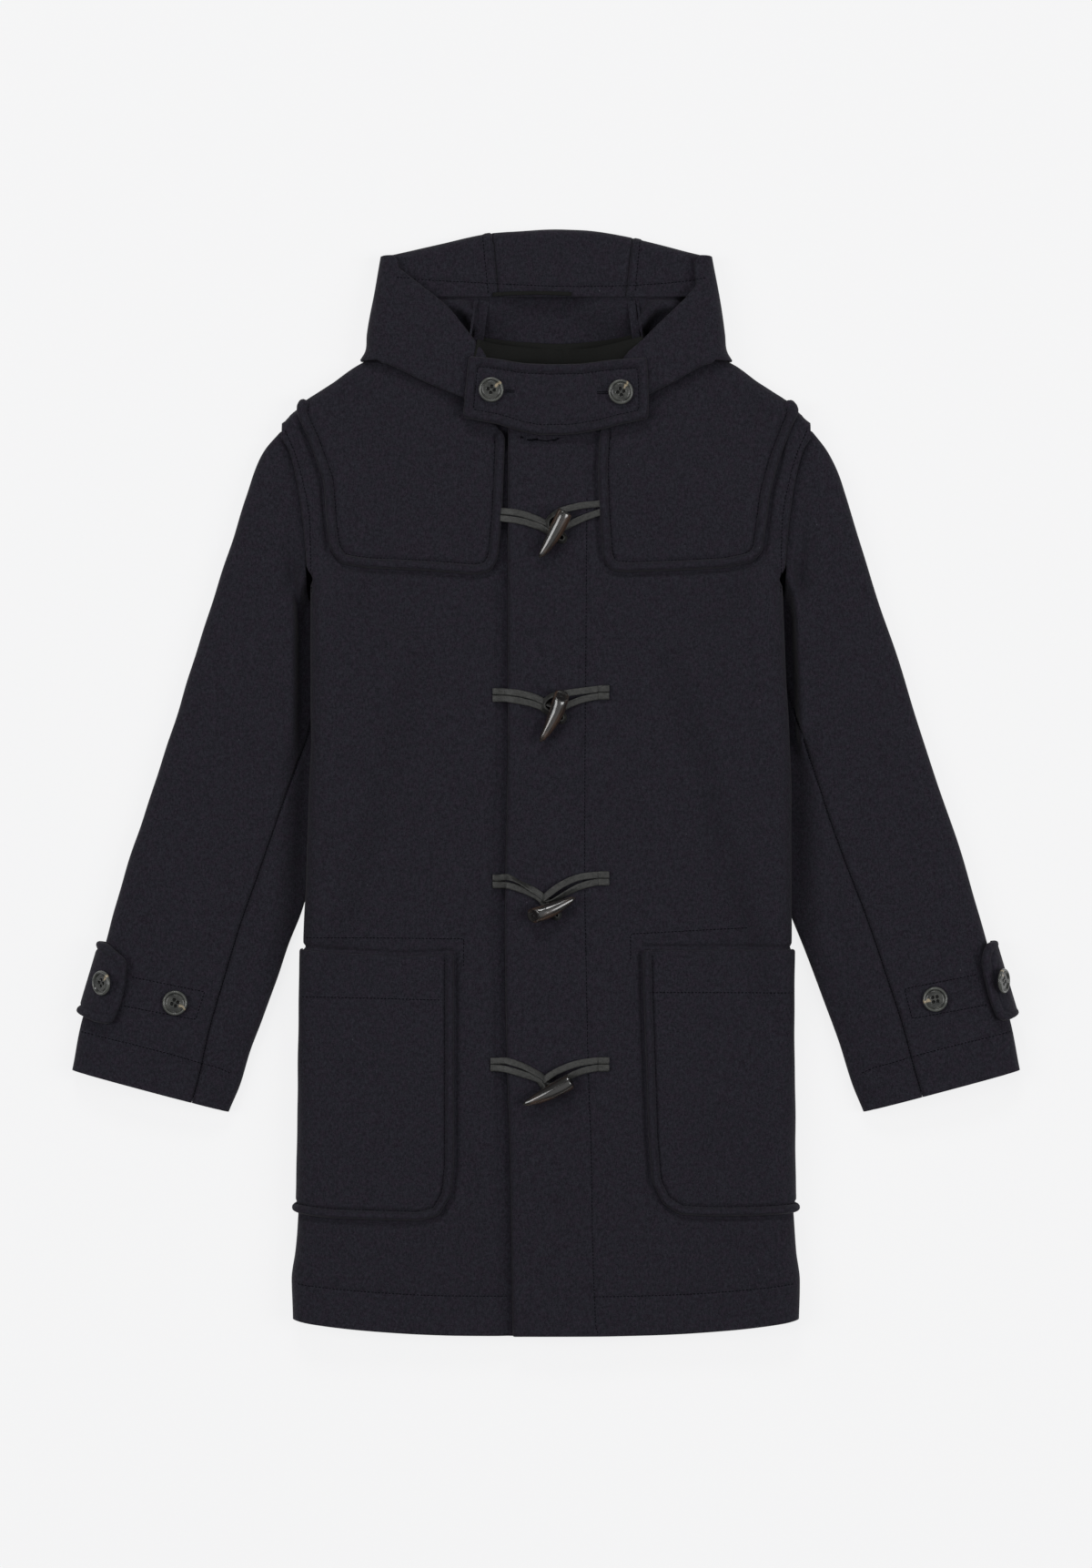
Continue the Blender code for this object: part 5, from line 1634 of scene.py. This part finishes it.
BUTTON_SIDES = 72
HOLE_FLOOR = 0.3        # thickness left under a hole
rings = [(r, BUTTON_FACE) for r in np.concatenate((np.arange(0.3, 4.9, 0.23), (5.4, 6.1, 6.8)))]
button_points, button_faces = lathe_rings(rings + list(BUTTON_RIM), BUTTON_SIDES)
turns = np.radians((45, 135, 225, 315))
holes = HOLE_OUT * np.stack((np.cos(turns), np.sin(turns)), -1)
from_hole = np.min([np.hypot(*(button_points[:, :2] - hole).T) for hole in holes], axis=0)
sunk = (1 - ease(0.82 * HOLE_RADIUS, 1.15 * HOLE_RADIUS, from_hole)) * (button_points[:, 2] > 1)
button_points[:, 2] -= sunk * (BUTTON_FACE - HOLE_FLOOR)
for name, x, y, lean, base, turn in BUTTONS:
    if base is None:
        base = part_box(name)[0][2] / MM
    middle = (0, MIDDLE_Y, 0)       # make() takes this off again
    piece = make(f"{name}_shell", button_points + middle, button_faces, button_horn, "button", name)
    put(piece, x, y, base, Matrix.Rotation(radians(lean), 4, "Y"),
        Matrix.Rotation(radians(turn), 4, "Z"))


# ---------------------------------------------------------- thongs and toggles
# Four fastenings. On the right front a cord of flat leather carries the toggle, and on
# the left a loop of the same leather goes round it. Their ends are sewn down flat.

STRAP = 6.4             # width of a thong
STRAP_THICK = 1.8
KEEPER = 6.8            # width of the sewn keeper over a loop's end
KEEPER_THICK = 3.0

# Each cord and loop as one thong, from its upper end, round its eye and back:
# x, y, height of its middle above the cloth, lean in degrees (90 stands on edge)
CORDS = (
    ((-46, 254.4, 0.9, 0), (-41.6, 254.2, 1.0, 0), (-30, 252.8, 1.2, 0), (-20, 250.6, 1.5, -5),
     (-9, 246.8, 2.0, -15), (0, 242.8, 2.4, -30), (9, 237.6, 2.8, -55), (15, 233.6, 3, -60),
     (18, 229.4, 3, -60), (16, 225.6, 3, -60), (11, 227, 3, -60), (3.4, 233.4, 2.8, -50),
     (-5, 238.8, 2.2, -15), (-14, 242, 1.5, 0), (-25, 244.9, 1.1, 0), (-41.6, 247.4, 1.0, 0),
     (-46, 247.6, 0.9, 0)),
    ((-50, 85.6, 0.9, 0), (-44, 85.6, 0.9, 0), (-37, 85.2, 1.1, 0), (-24, 83.6, 1.4, 0),
     (-12, 80.6, 1.9, -8), (-4.5, 77.4, 2.4, -20), (4, 72.8, 2.8, -50), (11, 68.8, 3, -60),
     (16, 65.2, 3, -60), (17.4, 60.4, 3, -60), (14.4, 57, 3, -60), (10, 59.6, 3, -60),
     (3, 65, 2.8, -50), (-5, 71.2, 2, -10), (-12, 73.8, 1.6, 0), (-24, 76.6, 1.2, 0),
     (-37, 78.7, 1.1, 0), (-44, 79.0, 0.9, 0), (-50, 79.0, 0.9, 0)),
    ((-50, -88.6, 0.9, 0), (-44, -88.6, 0.9, 0), (-37, -87.8, 1.2, -15), (-30, -90, 1.8, -55),
     (-22, -94.2, 2.2, -60), (-13, -99.2, 2.4, -25), (-5, -104.6, 2.6, -10),
     (4, -112, 2.8, -50), (10, -118, 3, -60), (13, -123, 3, -60), (10, -126.6, 3, -60),
     (4, -121, 2.8, -50), (-4, -109.6, 2.4, -10), (-9, -105.6, 1.9, 0), (-15, -102.4, 1.5, 0),
     (-24, -99, 1.3, 0), (-32, -96.4, 1.2, 0), (-38, -95.3, 1.1, 0), (-44, -95.2, 0.9, 0),
     (-50, -95.2, 0.9, 0)),
    ((-52, -259.8, 0.9, 0), (-46, -259.8, 0.9, 0), (-38, -259.4, 1.2, -5), (-29, -261.6, 1.6, -15),
     (-20, -265, 2.0, -25), (-10, -270.2, 2.4, -30), (-4, -274, 2.8, -35), (3, -280, 3, -50),
     (7, -287, 3, -60), (6.4, -292.6, 3, -60), (2, -293, 3, -60), (-1.6, -286, 2.8, -50),
     (-6, -278, 2.4, -15), (-12, -274.8, 1.8, 0), (-21, -272, 1.4, 0), (-37, -267.4, 1.1, 0),
     (-46, -266.4, 0.9, 0), (-52, -266.4, 0.9, 0)),
)
LOOPS = (
    ((54, 261.4, 0.9, 0), (46, 260.4, 1.1, 0), (34, 259.2, 1.7, 0), (24, 257.2, 2.6, 5),
     (15, 254.8, 3.4, 25), (8.4, 251.6, 3.8, 45), (3, 247.2, 3.8, 52), (1, 242, 3.8, 52),
     (2.4, 236.6, 3.8, 52), (8, 234.4, 3.4, 50), (15, 237.4, 2.8, 40), (24, 242.4, 2.2, 5),
     (34, 247, 1.5, 0), (46, 251.4, 1.1, 0), (54, 253.6, 0.9, 0)),
    ((58.6, 88.0, 1.0, 0), (49, 87.7, 1.2, 0), (36, 86.2, 1.7, 0), (24, 84.6, 2.8, 0),
     (15, 83.2, 3.6, 20), (8, 82.4, 4, 45), (2.4, 80, 4, 52), (-1.4, 76.4, 4, 52),
     (-2.6, 72.2, 4, 52), (-0.6, 68, 4, 52), (4.4, 65.4, 3.6, 50), (11, 67.4, 3, 40),
     (21.4, 73.2, 2.4, 5), (34, 78, 1.6, 0), (49, 81, 1.2, 0), (58.6, 81.2, 1.0, 0)),
    ((58.6, -85.6, 1.0, 0), (48.7, -85.8, 1.2, 0), (36, -87, 1.9, 0), (24.2, -90.2, 3, 0),
     (12, -96.4, 4, 0), (4, -102.2, 4.6, 10), (-1.2, -106.6, 4.4, 35), (-3, -109.6, 3.8, 52),
     (-0.5, -112, 3.2, 52), (5, -110.8, 3, 52), (11.5, -107.4, 2.8, 45),
     (19.6, -102.4, 2.4, 40), (33.4, -96, 1.7, 10), (48.7, -92.4, 1.2, 0),
     (58.6, -92.4, 1.0, 0)),
    ((58.6, -259.2, 1.0, 0), (48.5, -259.2, 1.2, 0), (36, -260.6, 1.9, 0), (24.1, -263.4, 3, 0),
     (12, -268.2, 4, 0), (3.6, -273, 4.6, 10), (-0.8, -276.6, 4.4, 35), (-2.4, -279.6, 3.8, 52),
     (0.4, -282.4, 3.2, 52), (6, -281.6, 3, 52), (14, -277.4, 2.8, 45), (28.8, -270.8, 2.2, 15),
     (38, -267.8, 1.7, 0), (48.5, -266, 1.2, 0), (58.6, -266, 1.0, 0)),
)


def leather_finish():
    finish = Finish("leather", Specular_IOR_Level=0.5)
    grain = finish.add("TexVoronoi", {}, {"Vector": finish.place, "Scale": 1400.0}, "Distance")
    cloud = finish.noise(3, 3.0)
    finish.give("Base Color",
                finish.blend(finish.rise(cloud * 0.7 + grain * 0.4, 0.35, 0.75),
                             (0.012, 0.0123, 0.0118, 1), (0.040, 0.0405, 0.0378, 1)))
    finish.give("Roughness", cloud * 0.22 + 0.36)
    finish.relief(grain, 0.14)
    return finish


leather = leather_finish()
on_fronts = top_of(*front_cloths.values())
for k, (cord, loop) in enumerate(zip(CORDS, LOOPS), 1):
    shape = strap(cord, on_fronts, STRAP, STRAP_THICK)
    cord_piece = make(f"cord_{k}_leather", *shape, leather, "leather", f"cord_{k}")
    shapes = [strap(loop, on_fronts, STRAP, STRAP_THICK)]
    if k > 1:
        # A sewn keeper closes over the two ends of the loop
        for x, y, *_ in (loop[0], loop[-1]):
            keeper = [(x - d, y, 1.6, 0) for d in (9.8, 6.6, 3, -0.4)]
            shapes.append(strap(keeper, on_fronts, KEEPER, KEEPER_THICK))
    make(f"loop_{k}_leather", *joined(shapes), leather, "leather", f"loop_{k}")
    if k > 1:
        # Two bars of stitches cross the cord's ends
        x, top, low = cord[0][0] + 12, cord[0][1] + 2.8, cord[-1][1] - 2.8
        bars = [((x + d, top), (x + d, low)) for d in (-0.7, 0.7)]
        sew(f"stitches_cord_{k}", top_of(cord_piece), bars, pitch=1.9, thick=0.45)

# Toggles: length along the horn as a share, and its radius in millimetres
HORN = ((0.02, 7.0), (0.10, 7.3), (0.30, 7.1), (0.50, 6.5), (0.68, 5.4), (0.84, 4.1),
        (0.94, 3.0), (0.985, 2.1), (1.0, 1.3))
# The cut end, from its middle to the rim: share of the radius, depth in millimetres
HORN_END = ((0.04, 0.55), (0.16, 0.5), (0.24, 0.72), (0.34, 0.42), (0.46, 0.6), (0.56, 0.3),
            (0.7, 0.42), (0.8, 0.12), (0.9, 0.1), (0.96, 0.3), (1.0, 0.75))

# For each toggle: middle of its cut end, its tip, how far the end is raised and the tip
# lowered, how far its middle bows to its left, and how steeply the end is cut, in degrees
TOGGLES = (
    ((18.2, 253.4), (-5.6, 211.0), 0.5, 3.0, 1.2, 5),
    ((16.6, 86.0), (-4.6, 39.6), 2.0, 3.5, 2.0, 36),
    ((-16.5, -125.6), (26.0, -107.4), 2.0, 3.5, -1.5, 36),
    ((24.4, -277.0), (-20.4, -299.6), 0.0, 2.4, 0.8, 8),
)


def horn_finish():
    finish = Finish("toggle_horn", Specular_IOR_Level=0.9, Coat_Weight=1.0,
                    Coat_Roughness=0.06)
    drawn = finish.stretched(1.0, 1.0, 0.06)
    whole = finish.add("NewGeometry", output="Position")
    drift = finish.noise(26, 1.0, whole)
    fibre = finish.noise(0.8, 3.0, drawn)
    band = finish.noise(2.6, 2.0, drawn)
    side = finish.add("SeparateXYZ", {}, {0: finish.place}, "X")
    height = finish.add("SeparateXYZ", {}, {0: finish.place}, "Z")
    near_tip = finish.rise(height, 0.020, 0.048)
    edge = finish.rise(abs(side + near_tip * 0.002), 0.0026, 0.0060)
    tone = band * 0.5 + fibre * 0.45 + drift * 0.4 + near_tip * 0.08 + edge * 0.18
    dark = finish.blend(finish.rise(tone, 0.74, 0.92),
                        (0.012, 0.0110, 0.0100, 1), (0.060, 0.033, 0.020, 1))
    finish.give("Base Color",
                finish.blend(finish.rise(tone, 0.98, 1.14) * 0.7, dark, (0.26, 0.175, 0.11, 1)))
    finish.give("Roughness", fibre * 0.16 + 0.14)
    finish.relief(fibre, 0.06)
    return finish


toggle_horn = horn_finish()
HORN_SIDES = 48
for k, (blunt, tip, raised, lowered, bow, slant) in enumerate(TOGGLES, 1):
    low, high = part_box(f"toggle_{k}")
    z = (low[2] + high[2]) / 2 / MM
    start = np.array((*blunt, z + raised))
    reach = np.array((*tip, z - lowered)) - start
    length = float(np.linalg.norm(reach))
    ahead = Vector(reach / length)
    left = Vector((0, 0, 1)).cross(ahead).normalized()
    shares = np.linspace(HORN[0][0], 1, 46)
    body = [(float(read(HORN, share)), share * length) for share in shares]
    end = [(body[0][0] * size, deep) for size, deep in HORN_END]
    tip_cap = [(body[-1][0] * cos(a), length + body[-1][0] * sin(a)) for a in (0.5, 1.0, 1.4)]
    points, faces = lathe_rings(end + body[1:] + tip_cap, HORN_SIDES)
    faces = [face[::-1] for face in faces]
    # The horn is a little flat, and bows to one side
    points[:, 1] *= 0.94
    points[:, 0] += bow * np.sin(pi * np.clip(points[:, 2] / length, 0, 1))
    cut = np.clip(1 - points[:, 2] / (0.4 * length), 0, 1)
    points[:, 2] += tan(radians(slant)) * (points[:, 1] + 6.5) * cut
    piece = make(f"toggle_{k}_horn", points + (0, MIDDLE_Y, 0), faces, toggle_horn, "horn",
                 f"toggle_{k}")
    up = ahead.cross(left)
    turn = Matrix((left, up, ahead)).transposed().to_4x4()
    put(piece, *start, turn)


# --------------------------------------------------- floor, lights and camera
# A plain pale floor, which the coat lies on. Four soft lights stand round it, and the
# camera looks straight down on the coat's front.

def floor_finish():
    finish = Finish("paper", Roughness=0.95, Specular_IOR_Level=0.05, Emission_Strength=1.0)
    grain = finish.noise(5, 3.0)
    finish.give("Base Color",
                finish.blend(grain, (0.118, 0.118, 0.118, 1), (0.126, 0.126, 0.126, 1)))
    finish.give("Emission Color", (0.815, 0.815, 0.82, 1))
    return finish


REACH = 4               # half the floor's width in metres
mesh = bpy.data.meshes.new("floor")
corners = [(x * REACH, y * REACH, 0) for x, y in ((-1, -1), (1, -1), (1, 1), (-1, 1))]
mesh.from_pydata(corners, [], [(0, 1, 2, 3)])
mesh.materials.append(floor_finish().material)
floor = bpy.data.objects.new("floor", mesh)
bpy.context.scene.collection.objects.link(floor)

world = bpy.data.worlds.new("studio")
world.use_nodes = True
sky = world.node_tree.nodes["Background"].inputs
sky["Color"].default_value = (1, 1, 1, 1)
sky["Strength"].default_value = 0.10
bpy.context.scene.world = world

# Soft lights: name, place in metres, sides in metres, watts
LIGHTS = (
    ("ceiling", (1.6, -0.9, 6.2), (9.5, 7.0), 70.0),
    ("box_left", (-3.9, 0.4, 4.3), (2.4, 3.6), 110.0),
    ("box_right", (4.1, -0.2, 4.1), (2.4, 3.6), 114.0),
    ("key", (-0.5, 4.6, 3.8), (2.2, 1.4), 78.0),
)
for name, place, sides, watts in LIGHTS:
    light = bpy.data.lights.new(name, "AREA")
    light.shape = "RECTANGLE"
    light.size, light.size_y = sides
    light.energy = watts
    lamp = bpy.data.objects.new(name, light)
    lamp.location = place
    lamp.rotation_euler = (-lamp.location).to_track_quat("-Z", "Y").to_euler()
    bpy.context.scene.collection.objects.link(lamp)

CAMERA_HIGH = 5.0       # metres, as are the next three
CAMERA_Y = -0.0016
FRAME_HIGH = 1.46455    # height of the picture, on the plane of the coat's front
COAT_LEVEL = 0.03       # height of that plane
SENSOR = 36.0
camera = bpy.data.cameras.new("camera")
camera.sensor_fit = "VERTICAL"
camera.sensor_height = SENSOR
camera.lens = SENSOR * (CAMERA_HIGH - COAT_LEVEL) / FRAME_HIGH
camera.clip_end = 20
eye = bpy.data.objects.new("camera", camera)
eye.location = (0, CAMERA_Y, CAMERA_HIGH)
bpy.context.scene.collection.objects.link(eye)
bpy.context.scene.camera = eye
bpy.context.scene.view_settings.view_transform = "Standard"
